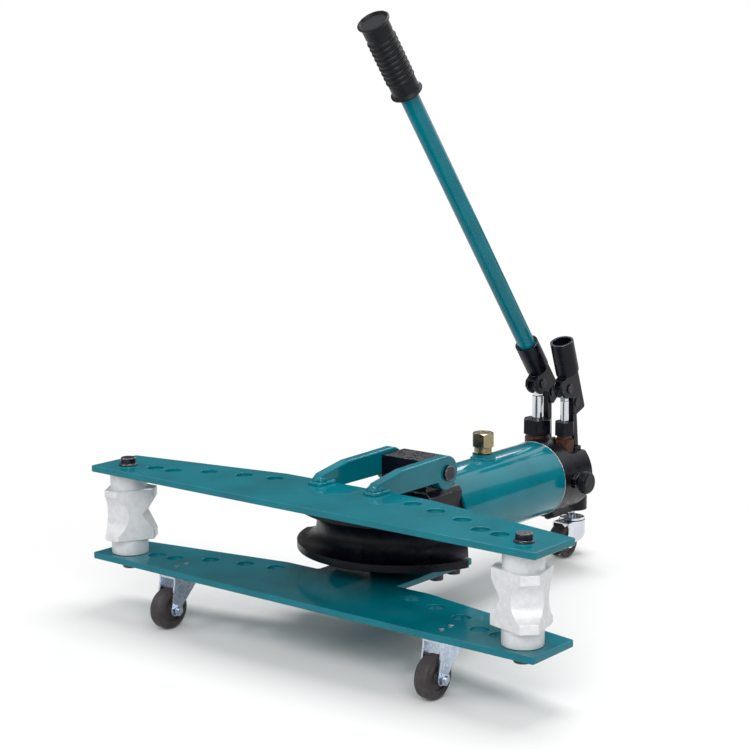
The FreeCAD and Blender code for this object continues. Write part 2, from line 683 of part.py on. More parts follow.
# Bending die
# A grooved sector with pockets above and below its web and a boss for the ram's nose.
def bending_die():
    body = new_body("bending_die")
    rim = "(bend_radius + die_lip)"
    disc = rectangle(sketch_on(body, "XZ"), "0", "-" + DIE_HALF, rim, DIE_HALF)
    spin(body, disc)
    spin(body, open_round(sketch_on(body, "XZ"), "bend_radius", "pipe_diameter / 2", rim + " + die_lip"), cut=True)
    # The ends slant from the lip to the groove's root; lengths are from the arc's centre.
    lip_y = "(die_lip_back - die_centre_back)"
    root_y = "(die_back - die_centre_back)"
    lip_x = "sqrt(%s ^ 2 - %s ^ 2)" % (rim, lip_y)
    root_x = "sqrt((bend_radius - pipe_diameter / 2) ^ 2 - %s ^ 2)" % root_y
    far_x = "(2 * %s - %s)" % (lip_x, root_x)
    far_y = "(2 * %s - %s)" % (lip_y, root_y)
    wide = "(1.5 * %s)" % rim
    back_cut = [
        (root_x, root_y),
        (far_x, far_y),
        (wide, far_y),
        (wide, wide),
        ("-" + wide, wide),
        ("-" + wide, far_y),
        ("-" + far_x, far_y),
        ("-" + root_x, root_y),
    ]
    pocket(body, polygon(sketch_on(body, "XY"), back_cut))
    pocket_y = "(pocket_back - die_centre_back)"
    for side in ("", "-"):
        for below in (False, True):
            outline = [(side + "pocket_half", pocket_y)]
            outline.append((side + "sqrt(pocket_radius ^ 2 - %s ^ 2)" % pocket_y, pocket_y))
            for angle in (28, 44, 58):
                outline.append((side + "pocket_radius * cos(%d)" % angle, "-pocket_radius * sin(%d)" % angle))
            outline.append((side + "pocket_half", "-sqrt(pocket_radius ^ 2 - pocket_half ^ 2)"))
            level = "-web_thick / 2" if below else "web_thick / 2"
            recess = polygon(sketch_on(body, "XY", level), outline)
            pocket(body, recess, DIE_HALF + " + 1", reverse=not below)
    hub = circle(sketch_on(body, "XZ", "die_centre_back - ram_front"), "0", "0", "hub_diameter / 2")
    pad(body, hub, "ram_front - pocket_back + 1")
    nose = circle(sketch_on(body, "XZ", "die_centre_back - ram_front - 1"), "0", "0",
                  "nose_diameter / 2 + set_play")
    pocket(body, nose, "nose_long + 1", reverse=True)
    return place(body, "0", "die_centre_back", RAM_UP)


# Ram
# Nose, rod and piston in one turned piece, hollow for the return spring; it points forwards.
def ram():
    long = "(pump_front - piston_gap - ram_front)"
    hollow = "(spring_diameter / 2 + spring_room)"
    body = turned("ram", [
        (hollow, "0"),
        ("barrel_bore / 2 - run_play", "0"),
        ("barrel_bore / 2 - run_play", "piston_long / 2 - seal_wide / 2"),
        ("barrel_bore / 2 - seal_deep", "piston_long / 2 - seal_wide / 2"),
        ("barrel_bore / 2 - seal_deep", "piston_long / 2 + seal_wide / 2"),
        ("barrel_bore / 2 - run_play", "piston_long / 2 + seal_wide / 2"),
        ("barrel_bore / 2 - run_play", "piston_long"),
        ("ram_diameter / 2", "piston_long"),
        ("ram_diameter / 2", long),
        ("nose_diameter / 2", long),
        ("nose_diameter / 2", long + " + nose_long - 0.5"),
        ("0", long + " + nose_long - 0.5"),
        ("0", "pump_front - piston_gap - ram_bore_front"),
        (hollow, "pump_front - piston_gap - ram_bore_front"),
    ])
    return place(body, "0", "pump_front - piston_gap", RAM_UP, X_AXIS, "90")


def along_ram(label, inner, outer, start, end):
    """A ring on the ram's line, from one distance back to another."""
    body = ring(label, inner, outer, "(%s) - (%s)" % (end, start))
    return place(body, "0", start, RAM_UP, X_AXIS, "-90")


# Seals, bush, spring and the two cylinders, all on the ram's line
def hydraulic_rings():
    middle = "pump_front - piston_gap - piston_long / 2"
    back = "flange_back + spigot_long"
    spring_out = "spring_diameter / 2"
    return [
        along_ram("piston_seal", "barrel_bore / 2 - seal_deep", "barrel_bore / 2 - set_play",
                  middle + " - seal_wide / 2", middle + " + seal_wide / 2"),
        along_ram("rod_seal", "ram_diameter / 2 + set_play", "ram_diameter / 2 + seal_deep",
                  "seal_back - seal_wide", "seal_back"),
        along_ram("guide_bush", "ram_diameter / 2 + run_play", "ram_diameter / 2 + bush_wall",
                  back + " - bush_long - bush_inset", back + " - bush_inset"),
        along_ram("return_spring", spring_out + " - spring_wire", spring_out, "ram_bore_front", "pump_front"),
        along_ram("pressure_cylinder", "barrel_bore / 2", "barrel_bore / 2 + barrel_wall", back, "pump_front"),
    ]


# Reservoir tube
# The painted outer cylinder, pierced under the filler.
def reservoir_tube():
    body = ring("reservoir_tube", "tube_diameter / 2 - tube_wall", "tube_diameter / 2", "pump_front - flange_back")
    # The body lies on its side, so its own -Y is up.
    hole = circle(sketch_on(body, "XZ"), "0", "filler_back - flange_back", "filler_bore / 2")
    pocket(body, hole, "tube_diameter", reverse=True)
    return place(body, "0", "flange_back", RAM_UP, X_AXIS, "-90")


# Filler
# A welded boss, a sealing ring and a tall hexagon cap with a threaded neck.
def filler():
    boss = new_body("filler_boss")
    low = "(tube_diameter / 2 - 1.2 * boss_proud)"
    round_pad = circle(sketch_on(boss, "XY", low), "0", "0", "boss_diameter / 2")
    pad(boss, round_pad, "%s - %s" % (BOSS_HIGH, low))
    pocket(boss, circle(sketch_on(boss, "XZ"), "0", "0", "tube_diameter / 2"))
    pocket(boss, circle(sketch_on(boss, "XY"), "0", "0", "filler_bore / 2"))
    place(boss, "0", "filler_back", RAM_UP)
    seal = ring("filler_seal", "filler_bore / 2", "cap_neck / 2", "filler_seal_thick")
    place(seal, "0", "filler_back", "%s + %s" % (RAM_UP, BOSS_HIGH))
    cap = new_body("filler_cap")
    crown = hexagon(sketch_on(cap, "XY"), "0", "0", "cap_flats", CAP_TURN)
    pad(cap, crown, "cap_tall")
    for level, inward, outward in (("0", "+", "-"), ("cap_tall", "-", "+")):
        edge = polygon(sketch_on(cap, "XZ"), [
            ("cap_flats * 0.49", "%s %s cap_chamfer" % (level, outward)),
            ("cap_flats * 0.49", level),
            ("cap_flats * 0.6", "%s %s cap_chamfer" % (level, inward)),
            ("cap_flats * 0.65", "%s %s cap_chamfer" % (level, outward)),
        ])
        spin(cap, edge, cut=True)
    neck = circle(sketch_on(cap, "XY"), "0", "0", "cap_neck / 2")
    pad(cap, neck, "cap_lift - filler_seal_thick", reverse=True)
    shank = circle(sketch_on(cap, "XY"), "0", "0", "filler_bore / 2 - run_play")
    pad(cap, shank, "cap_lift + boss_proud + tube_wall", reverse=True)
    place(cap, "0", "filler_back", "%s + %s + cap_lift" % (RAM_UP, BOSS_HIGH))
    return [boss, seal, cap]


# Rollers
# A three-sided block with a different groove on each narrow face, between two round necks.
def roller(label, across, turn):
    body = new_body(label)
    outline = []
    for angle in (0, 120, 240):
        for sign in ("-", "+"):
            reach = "%s facet_width / 2" % sign
            outline.append((
                "%s * sin(%d) %s * cos(%d)" % (FACET_OUT, angle, reach, angle),
                "-%s * cos(%d) %s * sin(%d)" % (FACET_OUT, angle, reach, angle),
            ))
    block = pad(body, polygon(sketch_on(body, "XY"), outline), "block_tall", symmetric=True)
    soften(body, block, "block_soft")
    pad(body, circle(sketch_on(body, "XY"), "0", "0", "neck_diameter / 2"),
        "wing_gap - 2 * gap_play", symmetric=True)
    pocket(body, circle(sketch_on(body, "XY"), "0", "0", "pin_diameter / 2 + run_play"))
    for radius, angle in (("wide_groove", 0), ("mid_groove", 240)):
        centre = "-(%s + %s - groove_deep)" % (FACET_OUT, radius)
        pocket(body, circle(sketch_on(body, "YZ", turn=angle), centre, "0", radius))
    vee = polygon(sketch_on(body, "YZ", turn=120), [
        ("-(%s - vee_deep)" % FACET_OUT, "0"),
        ("-(%s + vee_deep)" % FACET_OUT, "vee_open"),
        ("-(%s + vee_deep)" % FACET_OUT, "-vee_open"),
    ])
    pocket(body, vee)
    return place(body, across, "0", RAM_UP, Z_AXIS, turn)


# Roller pins
# A pin through both wings and the roller, hung by its collar on the upper wing.
def roller_pin(label, across):
    low = "(2 * plate_thick + wing_gap + pin_below)"
    radius = "pin_diameter / 2"
    body = turned(label, [
        ("0", "-" + low),
        (radius + " - 1", "-" + low),
        (radius, "-%s + 1" % low),
        (radius, "0"),
        ("pin_collar / 2", "0"),
        ("pin_collar / 2", "pin_collar_tall - 0.8"),
        ("pin_head / 2", "pin_collar_tall"),
        ("pin_head / 2", "pin_head_tall - 0.8"),
        ("pin_head / 2 - 0.8", "pin_head_tall"),
        ("0", "pin_head_tall"),
    ])
    return place(body, across, "0", UPPER_TOP)


# Pump body
# A round casting at the cylinder's rear with spot faces for the two fittings, a milled top behind
# them with slots for the links, a port each side and a flat pad underneath.
def pump_body():
    body = new_body("pump_body")
    long = "(pump_back - pump_front)"
    round_body = pad(body, circle(sketch_on(body, "XZ", "-" + long), "0", "0", "pump_diameter / 2"), long)
    rear = lambda edge: edge.CenterOfMass.y > number(long) - 0.5 and edge.Curve.TypeId == "Part::GeomCircle"
    soften(body, round_body, "pump_round", rear)
    pad_block = rectangle(sketch_on(body, "XY", "-pad_low"), "-pad_half", "pad_front - pump_front",
                          "pad_half", long + " - pump_round")
    pad(body, pad_block, "pad_low - 2")
    high = "pump_diameter / 2"
    back = "plunger_back - pump_front"
    start = "shelf_back - pump_front"
    shelf = rectangle(sketch_on(body, "XY", "shelf_low"), "-pump_diameter", start, "pump_diameter", "2 * " + long)
    pocket(body, shelf, high, reverse=True)
    for side in ("", "-"):
        step = rectangle(sketch_on(body, "XY", "seat_low"), side + "shelf_across", start, side + "pump_diameter",
                         "2 * " + long)
        pocket(body, step, high, reverse=True)
    for across, fitting, plunger in (
        ("-plunger_across", "big_fitting", "big_plunger"),
        ("plunger_across", "small_fitting_flats / cos(30)", "small_plunger"),
    ):
        face = circle(sketch_on(body, "XY", "seat_low"), across, back, "(%s) / 2 + fitting_room" % fitting)
        pocket(body, face, high, reverse=True)
        shank = circle(sketch_on(body, "XY", "seat_low - fitting_deep"), across, back,
                       "%s / 2 + packing_wall + 1 + set_play" % plunger)
        pocket(body, shank, high, reverse=True)
        well = circle(sketch_on(body, "XY", "plunger_deep - seat_low + fitting_deep - 32"), across, back,
                      "%s / 2 + run_play" % plunger)
        pocket(body, well, high, reverse=True)
        slot = rectangle(sketch_on(body, "XY", "link_foot_up - link_eye - 1"),
                         across + " - link_thick / 2 - gap_play",
                         "link_foot_back - pump_front - link_eye - 3",
                         across + " + link_thick / 2 + gap_play", long + " + 1")
        pocket(body, slot, high, reverse=True)
        foot = circle(sketch_on(body, "YZ", across + " - link_thick"),
                      "link_foot_back - pump_front", "link_foot_up", "pivot_diameter / 2 + set_play")
        pocket(body, foot, "2 * link_thick", reverse=True)
    valve = circle(sketch_on(body, "YZ", "valve_inner"), "valve_back - pump_front", "0",
                   "valve_shank / 2 + set_play")
    pocket(body, valve, high, reverse=True)
    valve_seat = circle(sketch_on(body, "YZ", "valve_hex_start"), "valve_back - pump_front", "0",
                        "valve_flats / 2 / cos(30) + 1")
    pocket(body, valve_seat, high, reverse=True)
    plug = circle(sketch_on(body, "YZ", "-valve_inner"), "valve_back - pump_front", "0",
                  "valve_shank / 2 + set_play")
    pocket(body, plug, high)
    plug_seat = circle(sketch_on(body, "YZ", "-valve_hex_start"), "valve_back - pump_front", "0",
                       "plug_flats / 2 / cos(30) + 1")
    pocket(body, plug_seat, high)
    screws = sketch_on(body, "XY", "-pad_low")
    for back in ("foot_screw_first", "foot_screw_second"):
        circle(screws, "0", back + " - pump_front", "foot_screw / 2 + set_play")
    pocket(body, screws, "12", reverse=True)
    return place(body, "0", "pump_front", RAM_UP)


# Fittings and gland nuts
# A fitting in the pump body guides each plunger, and a gland nut on it presses the packing.
def valve_base(label, across, plunger, lower, flats, nut_low):
    body = new_body(label)
    outer = "(%s / 2 + packing_wall + 1)" % plunger
    pad(body, circle(sketch_on(body, "XY", "-fitting_deep + 0.5"), "0", "0", outer), "fitting_deep")
    pad(body, circle(sketch_on(body, "XY"), "0", "0", "(%s) / 2" % lower), "(%s - seat_low) * 0.3" % nut_low)
    if flats:
        collar = hexagon(sketch_on(body, "XY", "(%s - seat_low) * 0.3" % nut_low), "0", "0", flats,
                         FITTING_TURN)
    else:
        collar = circle(sketch_on(body, "XY", "(%s - seat_low) * 0.3" % nut_low), "0", "0",
                        "(%s) / 2 - 1.5" % lower)
    pad(body, collar, "(%s - seat_low) * 0.5" % nut_low)
    throat = circle(sketch_on(body, "XY"), "0", "0", "(%s) / 2 - 2.5" % lower)
    pad(body, throat, "%s - seat_low" % nut_low)
    pocket(body, circle(sketch_on(body, "XY"), "0", "0", "%s / 2 + run_play" % plunger))
    recess = circle(sketch_on(body, "XY", "%s - seat_low - packing_tall" % nut_low), "0", "0",
                    "%s / 2 + packing_wall" % plunger)
    pocket(body, recess, "2 * packing_tall", reverse=True)
    return place(body, across, "plunger_back", RAM_UP + " + seat_low")


def gland_nut(label, across, plunger, flats, corners, low, tall):
    body = new_body(label)
    prism = hexagon(sketch_on(body, "XY"), "0", "0", flats)
    pad(body, prism, tall)
    for level, inward in (("0", "+"), (tall, "-")):
        away = "-" if inward == "+" else "+"
        edge = polygon(sketch_on(body, "XZ"), [
            ("%s / 2 - 1" % flats, "%s %s 1" % (level, away)),
            ("%s / 2 - 1" % flats, level),
            ("%s / 2 + 1" % corners, "%s %s 1.6" % (level, inward)),
            ("%s / 2 + 2" % corners, "%s %s 1" % (level, away)),
        ])
        spin(body, edge, cut=True)
    rounding = sketch_on(body, "XY")
    circle(rounding, "0", "0", "%s / 2" % corners)
    circle(rounding, "0", "0", "%s / 2 + 6" % corners)
    pocket(body, rounding)
    pocket(body, circle(sketch_on(body, "XY"), "0", "0", "%s / 2 + run_play" % plunger))
    return place(body, across, "plunger_back", "%s + %s" % (RAM_UP, low))


def packing(label, across, plunger, nut_low):
    body = ring(label, "%s / 2 + set_play" % plunger, "%s / 2 + packing_wall" % plunger, "packing_tall")
    return place(body, across, "plunger_back", "%s + %s - packing_tall" % (RAM_UP, nut_low))


# Lever mechanism
# Each lever turns on the fulcrum pin at the head of its link and pushes its plunger by a second
# pin. These three give where a lever's fulcrum and plunger pin lie, from its lean.
def fulcrum_back(lean):
    return "(plunger_back + fork_forward * cos(%s) + fork_up * sin(%s))" % (lean, lean)


def fulcrum_up(lean, link):
    return "(link_foot_up + sqrt(%s ^ 2 - (%s - link_foot_back) ^ 2))" % (link, fulcrum_back(lean))


def eye_up(lean, link):
    return "(%s - fork_forward * sin(%s) + fork_up * cos(%s))" % (fulcrum_up(lean, link), lean, lean)


def plunger(label, across, diameter, lean, link):
    body = new_body(label)
    low = "(%s - plunger_deep)" % eye_up(lean, link)
    pad(body, circle(sketch_on(body, "XY", "-" + low), "0", "0", "%s / 2" % diameter),
        "%s - eye_neck" % low)
    flat = rectangle(sketch_on(body, "XY", "-eye_neck - 1"), "-eye_thick / 2", "-eye_wide / 2",
                     "eye_thick / 2", "eye_wide / 2")
    pad(body, flat, "eye_neck + 1")
    pad(body, circle(sketch_on(body, "YZ"), "0", "0", "eye_wide / 2"), "eye_thick", symmetric=True)
    pocket(body, circle(sketch_on(body, "YZ"), "0", "0", "eye_pin / 2 + set_play"))
    return place(body, across, "plunger_back", "%s + %s" % (RAM_UP, eye_up(lean, link)))


def plunger_pin(label, across, lean, link):
    """A pin with a flat head each side of the lever's side plates."""
    reach = "(eye_thick / 2 + 2 * gap_play + fork_wall)"
    body = turned(label, [
        ("0", "-%s - 2" % reach),
        ("eye_pin_head / 2 - 1", "-%s - 2" % reach),
        ("eye_pin_head / 2", "-%s - 1" % reach),
        ("eye_pin_head / 2", "-" + reach),
        ("eye_pin / 2", "-" + reach),
        ("eye_pin / 2", reach),
        ("eye_pin_head / 2", reach),
        ("eye_pin_head / 2", reach + " + 1"),
        ("eye_pin_head / 2 - 1", reach + " + 2"),
        ("0", reach + " + 2"),
    ])
    return place(body, across, "plunger_back", "%s + %s" % (RAM_UP, eye_up(lean, link)), Y_AXIS, "90")


def fulcrum_pin(label, across, lean, link):
    reach = "(eye_thick / 2 + gap_play + fork_wall)"
    body = turned(label, [
        ("0", "-%s - 2" % reach),
        ("pivot_diameter / 2 + 1.5", "-%s - 2" % reach),
        ("pivot_diameter / 2 + 2.5", "-%s - 1" % reach),
        ("pivot_diameter / 2 + 2.5", "-" + reach),
        ("pivot_diameter / 2", "-" + reach),
        ("pivot_diameter / 2", reach),
        ("pivot_diameter / 2 + 2.5", reach),
        ("pivot_diameter / 2 + 2.5", reach + " + 1"),
        ("pivot_diameter / 2 + 1.5", reach + " + 2"),
        ("0", reach + " + 2"),
    ])
    up = "%s + %s" % (RAM_UP, fulcrum_up(lean, link))
    return place(body, across, fulcrum_back(lean), up, Y_AXIS, "90")


def lever_link(label, across, lean, link):
    """An upright bar with an eye at each end, from the pump body to the lever."""
    body = new_body(label)
    bar = rectangle(sketch_on(body, "YZ"), "-link_wide / 2", "0", "link_wide / 2", link)
    pad(body, bar, "link_thick", symmetric=True)
    for level in ("0", link):
        pad(body, circle(sketch_on(body, "YZ"), "0", level, "link_eye"), "link_thick", symmetric=True)
    for level in ("0", link):
        pocket(body, circle(sketch_on(body, "YZ"), "0", level, "pivot_diameter / 2 + run_play"))
    tilt = "-asin((%s - link_foot_back) / %s)" % (fulcrum_back(lean), link)
    return place(body, across, "link_foot_back", RAM_UP + " + link_foot_up", X_AXIS, tilt)


def link_pins():
    members = []
    for across in ("-plunger_across", "plunger_across"):
        pin = turned("link_pin", [
            ("0", "-link_thick + gap_play"),
            ("pivot_diameter / 2", "-link_thick + gap_play"),
            ("pivot_diameter / 2", "link_thick - gap_play"),
            ("0", "link_thick - gap_play"),
        ])
        members.append(place(pin, across, "link_foot_back", RAM_UP + " + link_foot_up", Y_AXIS, "90"))
    return group("link_pins", members)


def lever_socket(label, across, lean, link):
    """A tube for the handle, pressed narrow at its slanted lower end onto a fork of two side plates."""
    body = new_body(label)
    inner = "(eye_thick / 2 + gap_play)"
    barrel = circle(sketch_on(body, "XY", "socket_low"), "0", "socket_behind", "socket_diameter / 2")
    pad(body, barrel, "socket_top - socket_low")
    slant = polygon(sketch_on(body, "YZ"), [
        ("socket_behind - socket_diameter / 2", "socket_low"),
        ("socket_behind - socket_diameter", "socket_low - socket_slant"),
        ("socket_behind + socket_diameter", "socket_low - socket_slant"),
        ("socket_behind + socket_diameter / 2", "socket_low + socket_slant"),
    ])
    pocket(body, slant)
    top = "socket_low + socket_slant"
    cheek = [
        ("fork_back", "-fork_low"),
        ("fork_back", top),
        ("-fork_step * 0.75", top),
        ("-fork_step * 0.75", "nose_high"),
        ("-fork_front * 0.8", "nose_high"),
        ("-fork_front", "nose_high - fork_front * 0.2"),
        ("-fork_front", "nose_low + fork_front / 2"),
        ("-fork_front * 0.96", "nose_low + fork_front / 3"),
        ("-fork_front * 0.86", "nose_low + fork_front * 0.13"),
        ("-fork_front * 0.74", "nose_low"),
        ("-fork_step", "nose_low"),
        ("-fork_step / 2", "nose_low - fork_step * 0.44"),
        ("-fork_step * 0.8", "-fork_low * 0.75"),
        ("-fork_step / 2", "-fork_low"),
    ]
    plates = pad(body, polygon(sketch_on(body, "YZ"), cheek), "2 * (%s + fork_wall)" % inner, symmetric=True)

    def free_corner(edge):
        centre = edge.CenterOfMass
        ahead = centre.y < -number("fork_step") - 1
        return runs_along(X_AXIS)(edge) and (ahead or centre.z < 0)

    soften(body, plates, "fork_soft", free_corner)
    throat = rectangle(sketch_on(body, "YZ"), "-2 * fork_front", "-2 * fork_low", "2 * fork_back", "socket_low")
    pocket(body, throat, "2 * " + inner, symmetric=True)
    pocket(body, circle(sketch_on(body, "YZ"), "0", "0", "pivot_diameter / 2 + set_play"))
    pocket(body, circle(sketch_on(body, "YZ"), "-fork_forward", "fork_up", "eye_pin / 2 + eye_slack"))
    mouth = circle(sketch_on(body, "XY", "socket_low + socket_floor"), "0", "socket_behind", "socket_bore / 2")
    pocket(body, mouth, "socket_top", reverse=True)
    up = "%s + %s" % (RAM_UP, fulcrum_up(lean, link))
    return place(body, across, fulcrum_back(lean), up, X_AXIS, lean)


# Handle
# A plain tube in the left socket with a ribbed plastic grip; both share the lever's lean.
def handle():
    base = "(socket_low + socket_floor + gap_play)"
    tube = new_body("handle_tube")
    pad(tube, circle(sketch_on(tube, "XY", base), "0", "0", "handle_diameter / 2"), "handle_top - " + base)
    pocket(tube, circle(sketch_on(tube, "XY"), "0", "0", "handle_diameter / 2 - handle_wall"))
    bore = "handle_diameter / 2 + set_play"
    lip = "lip_diameter / 2"
    waist = "waist_diameter / 2"
    narrow = "grip_diameter / 2"
    ribbed = "(lip_long + 1.1 * waist_long)"
    grip = turned("handle_grip", [
        (bore, "0"),
        (lip + " - lip_long * 0.2", "0"),
        (lip, "lip_long * 0.15"),
        (lip, "lip_long * 0.4"),
        (lip + " - lip_long * 0.3", "lip_long * 0.7"),
        (waist, "lip_long"),
        (waist, "lip_long + waist_long"),
        (narrow, ribbed),
        (narrow, "grip_long - " + ribbed),
        (waist, "grip_long - lip_long - waist_long"),
        (waist, "grip_long - lip_long"),
        (lip + " - lip_long * 0.3", "grip_long - lip_long * 0.7"),
        (lip, "grip_long - lip_long * 0.4"),
        (lip, "grip_long - lip_long * 0.15"),
        (lip + " - lip_long * 0.2", "grip_long"),
        (lip + " - lip_long * 0.4", "grip_long"),
        (lip + " - lip_long * 0.7", "grip_long - grip_dish"),
        ("0", "grip_long - grip_dish"),
        ("0", "grip_long - grip_over"),
        (bore, "grip_long - grip_over"),
    ])
    first = "(%s + rib_long / 2)" % ribbed
    section = sketch_on(grip, "XZ")
    polygon(section, [
        (narrow + " - rib_long / 8", first + " - rib_long / 2"),
        (narrow, first + " - rib_long / 2"),
        ("rib_diameter / 2 - rib_long / 12", first + " - rib_long / 4"),
        ("rib_diameter / 2", first),
        ("rib_diameter / 2 - rib_long / 12", first + " + rib_long / 4"),
        (narrow, first + " + rib_long / 2"),
        (narrow + " - rib_long / 8", first + " + rib_long / 2"),
    ])
    rib = spin(grip, section)
    doc.recompute()
    ribs = grip.newObject("PartDesign::LinearPattern", "grip_ribs")
    ribs.Originals = [rib]
    ribs.Direction = (section, ["V_Axis"])
    count = "(floor((grip_long - 2 * %s - rib_long) / rib_pitch) + 1)" % ribbed
    bind(ribs, "Occurrences", count)
    bind(ribs, "Length", "rib_pitch * (%s - 1)" % count)
    grip.Tip = ribs
    # Both stand on the socket's axis, which lies behind the fulcrum.
    back = "%s + socket_behind * cos(left_lean)" % fulcrum_back("left_lean")
    up = "%s + %s + socket_behind * sin(left_lean)" % (RAM_UP, fulcrum_up("left_lean", "left_link"))
    place(tube, "-plunger_across", back, up, X_AXIS, "left_lean")
    start = "(handle_top + grip_over - grip_long)"
    place(grip, "-plunger_across", "%s - %s * sin(left_lean)" % (back, start),
          "%s + %s * cos(left_lean)" % (up, start), X_AXIS, "left_lean")
    return [tube, grip]


# Release valve
# A hexagon bush in the pump body and a spindle with a round knob.
def release_valve():
    bush = new_body("release_valve")
    pad(bush, hexagon(sketch_on(bush, "XY", "valve_hex_start"), "0", "0", "valve_flats"),
        "valve_hex_end - valve_hex_start")
    pad(bush, circle(sketch_on(bush, "XY", "valve_inner + 0.5"), "0", "0", "valve_shank / 2"),
        "valve_hex_end - valve_inner - 0.5")
    pocket(bush, circle(sketch_on(bush, "XY"), "0", "0", "spindle_diameter / 2 + run_play"))
    place(bush, "0", "valve_back", RAM_UP, Y_AXIS, "90")
    knob = turned("release_knob", [
        ("0", "valve_inner + 1"),
        ("spindle_diameter / 2", "valve_inner + 4"),
        ("spindle_diameter / 2", "knob_start"),
        ("knob_diameter / 2 - knob_chamfer", "knob_start"),
        ("knob_diameter / 2", "knob_start + knob_chamfer"),
        ("knob_diameter / 2", "knob_end - knob_chamfer"),
        ("knob_diameter / 2 - knob_chamfer", "knob_end"),
        ("0", "knob_end"),
    ])
    place(knob, "0", "valve_back", RAM_UP, Y_AXIS, "90")
    plug = new_body("relief_plug")
    head = "(valve_hex_start + plug_proud)"
    pad(plug, hexagon(sketch_on(plug, "XY", "valve_hex_start"), "0", "0", "plug_flats"), head + " - valve_hex_start")
    pad(plug, circle(sketch_on(plug, "XY", "valve_inner + 0.5"), "0", "0", "valve_shank / 2"),
        "valve_hex_start - valve_inner")
    place(plug, "0", "valve_back", RAM_UP, Y_AXIS, "-90")
    return [bush, knob, plug]


# Front casters
# A bent bracket under the wing, a rubber wheel and an axle bolt with its nut.
def front_bracket(label, across):
    body = new_body(label)
    drop = "(wing_floor - wheel_diameter / 2)"
    front = "(bracket_front - caster_ahead)"
    cheek = [
        ("-bracket_round", "0"),
        ("bracket_round", "0"),
        ("caster_ahead + bracket_back", drop + " - 12"),
        ("caster_ahead + bracket_back", drop),
        ("-" + front, drop),
        ("-" + front, drop + " - 8"),
    ]
    pad(body, polygon(sketch_on(body, "YZ"), cheek), "bracket_wide", symmetric=True)
    end = circle(sketch_on(body, "YZ"), "0", "0", "bracket_round")
    pad(body, end, "bracket_wide", symmetric=True)
    inside = rectangle(sketch_on(body, "YZ"), "-2 * bracket_round", "-2 * bracket_round",
                       "caster_ahead + bracket_back + 1", drop + " - bracket_wall")
    pocket(body, inside, "bracket_wide - 2 * bracket_wall", symmetric=True)
    pocket(body, circle(sketch_on(body, "YZ"), "0", "0", "axle_diameter / 2 + set_play"))
    screws = sketch_on(body, "XY", drop)
    for back in ("-caster_screw_first", "caster_screw_second"):
        circle(screws, "0", "caster_ahead + " + back, "caster_screw / 2 + set_play")
    pocket(body, screws, "2 * bracket_wall")
    return place(body, across, "-caster_ahead", "wheel_diameter / 2")


def front_wheel(label, across):
    """A rubber wheel with a rounded tread, ringed recesses and a hub that fills the bracket."""
    half = "wheel_wide / 2"
    hub = "(bracket_wide / 2 - bracket_wall - gap_play)"
    body = turned(label, [
        ("axle_diameter / 2 + run_play", "-" + hub),
        ("hub_boss / 2", "-" + hub),
        ("hub_boss / 2 + 1", "-%s + hub_recess" % half),
        ("hub_round / 2 - 1", "-%s + hub_recess" % half),
        ("hub_round / 2", "-" + half),
        ("wheel_diameter / 2 - wheel_round", "-" + half),
        ("wheel_diameter / 2 - wheel_round * 0.29", "-%s + wheel_round * 0.29" % half),
        ("wheel_diameter / 2", "-%s + wheel_round" % half),
        ("wheel_diameter / 2", "%s - wheel_round" % half),
        ("wheel_diameter / 2 - wheel_round * 0.29", "%s - wheel_round * 0.29" % half),
        ("wheel_diameter / 2 - wheel_round", half),
        ("hub_round / 2", half),
        ("hub_round / 2 - 1", "%s - hub_recess" % half),
        ("hub_boss / 2 + 1", "%s - hub_recess" % half),
        ("hub_boss / 2", hub),
        ("axle_diameter / 2 + run_play", hub),
    ])
    return place(body, across, "-caster_ahead", "wheel_diameter / 2", Y_AXIS, "90")


def front_axles():
    bolts = []
    nuts = []
    for across in ("-caster_across", "caster_across"):
        bolt = new_body("front_axle_bolt")
        head = hexagon(sketch_on(bolt, "XY", "-bracket_wide / 2 - bolt_head"), "0", "0", "bolt_flats", BOLT_TURN)
        pad(bolt, head, "bolt_head")
        shank = circle(sketch_on(bolt, "XY", "-bracket_wide / 2"), "0", "0", "axle_diameter / 2")
        pad(bolt, shank, "bracket_wide + bolt_head + 2")
        bolts.append(place(bolt, across, "-caster_ahead", "wheel_diameter / 2", Y_AXIS, "90"))
        nut = new_body("front_axle_nut")
        pad(nut, hexagon(sketch_on(nut, "XY", "bracket_wide / 2"), "0", "0", "bolt_flats", NUT_TURN),
            "bolt_head")
        pocket(nut, circle(sketch_on(nut, "XY"), "0", "0", "axle_diameter / 2 + set_play"))
        nuts.append(place(nut, across, "-caster_ahead", "wheel_diameter / 2", Y_AXIS, "90"))
    return [group("front_axle_bolts", bolts), group("front_axle_nuts", nuts)]


def caster_screws():
    members = []
    for across in ("-caster_across", "caster_across"):
        for back in ("-caster_screw_first", "caster_screw_second"):
            screw = new_body("caster_screw_one")
            head = hexagon(sketch_on(screw, "XY", "-bracket_wall - caster_screw_head"), "0", "0",
                           "caster_screw_flats", SCREW_TURN)
            pad(screw, head, "caster_screw_head")
            shank = circle(sketch_on(screw, "XY", "-bracket_wall"), "0", "0", "caster_screw / 2")
            pad(screw, shank, "bracket_wall + plate_thick + screw_tip")
            members.append(place(screw, across, back, "wing_floor"))
    return group("caster_screws", members)


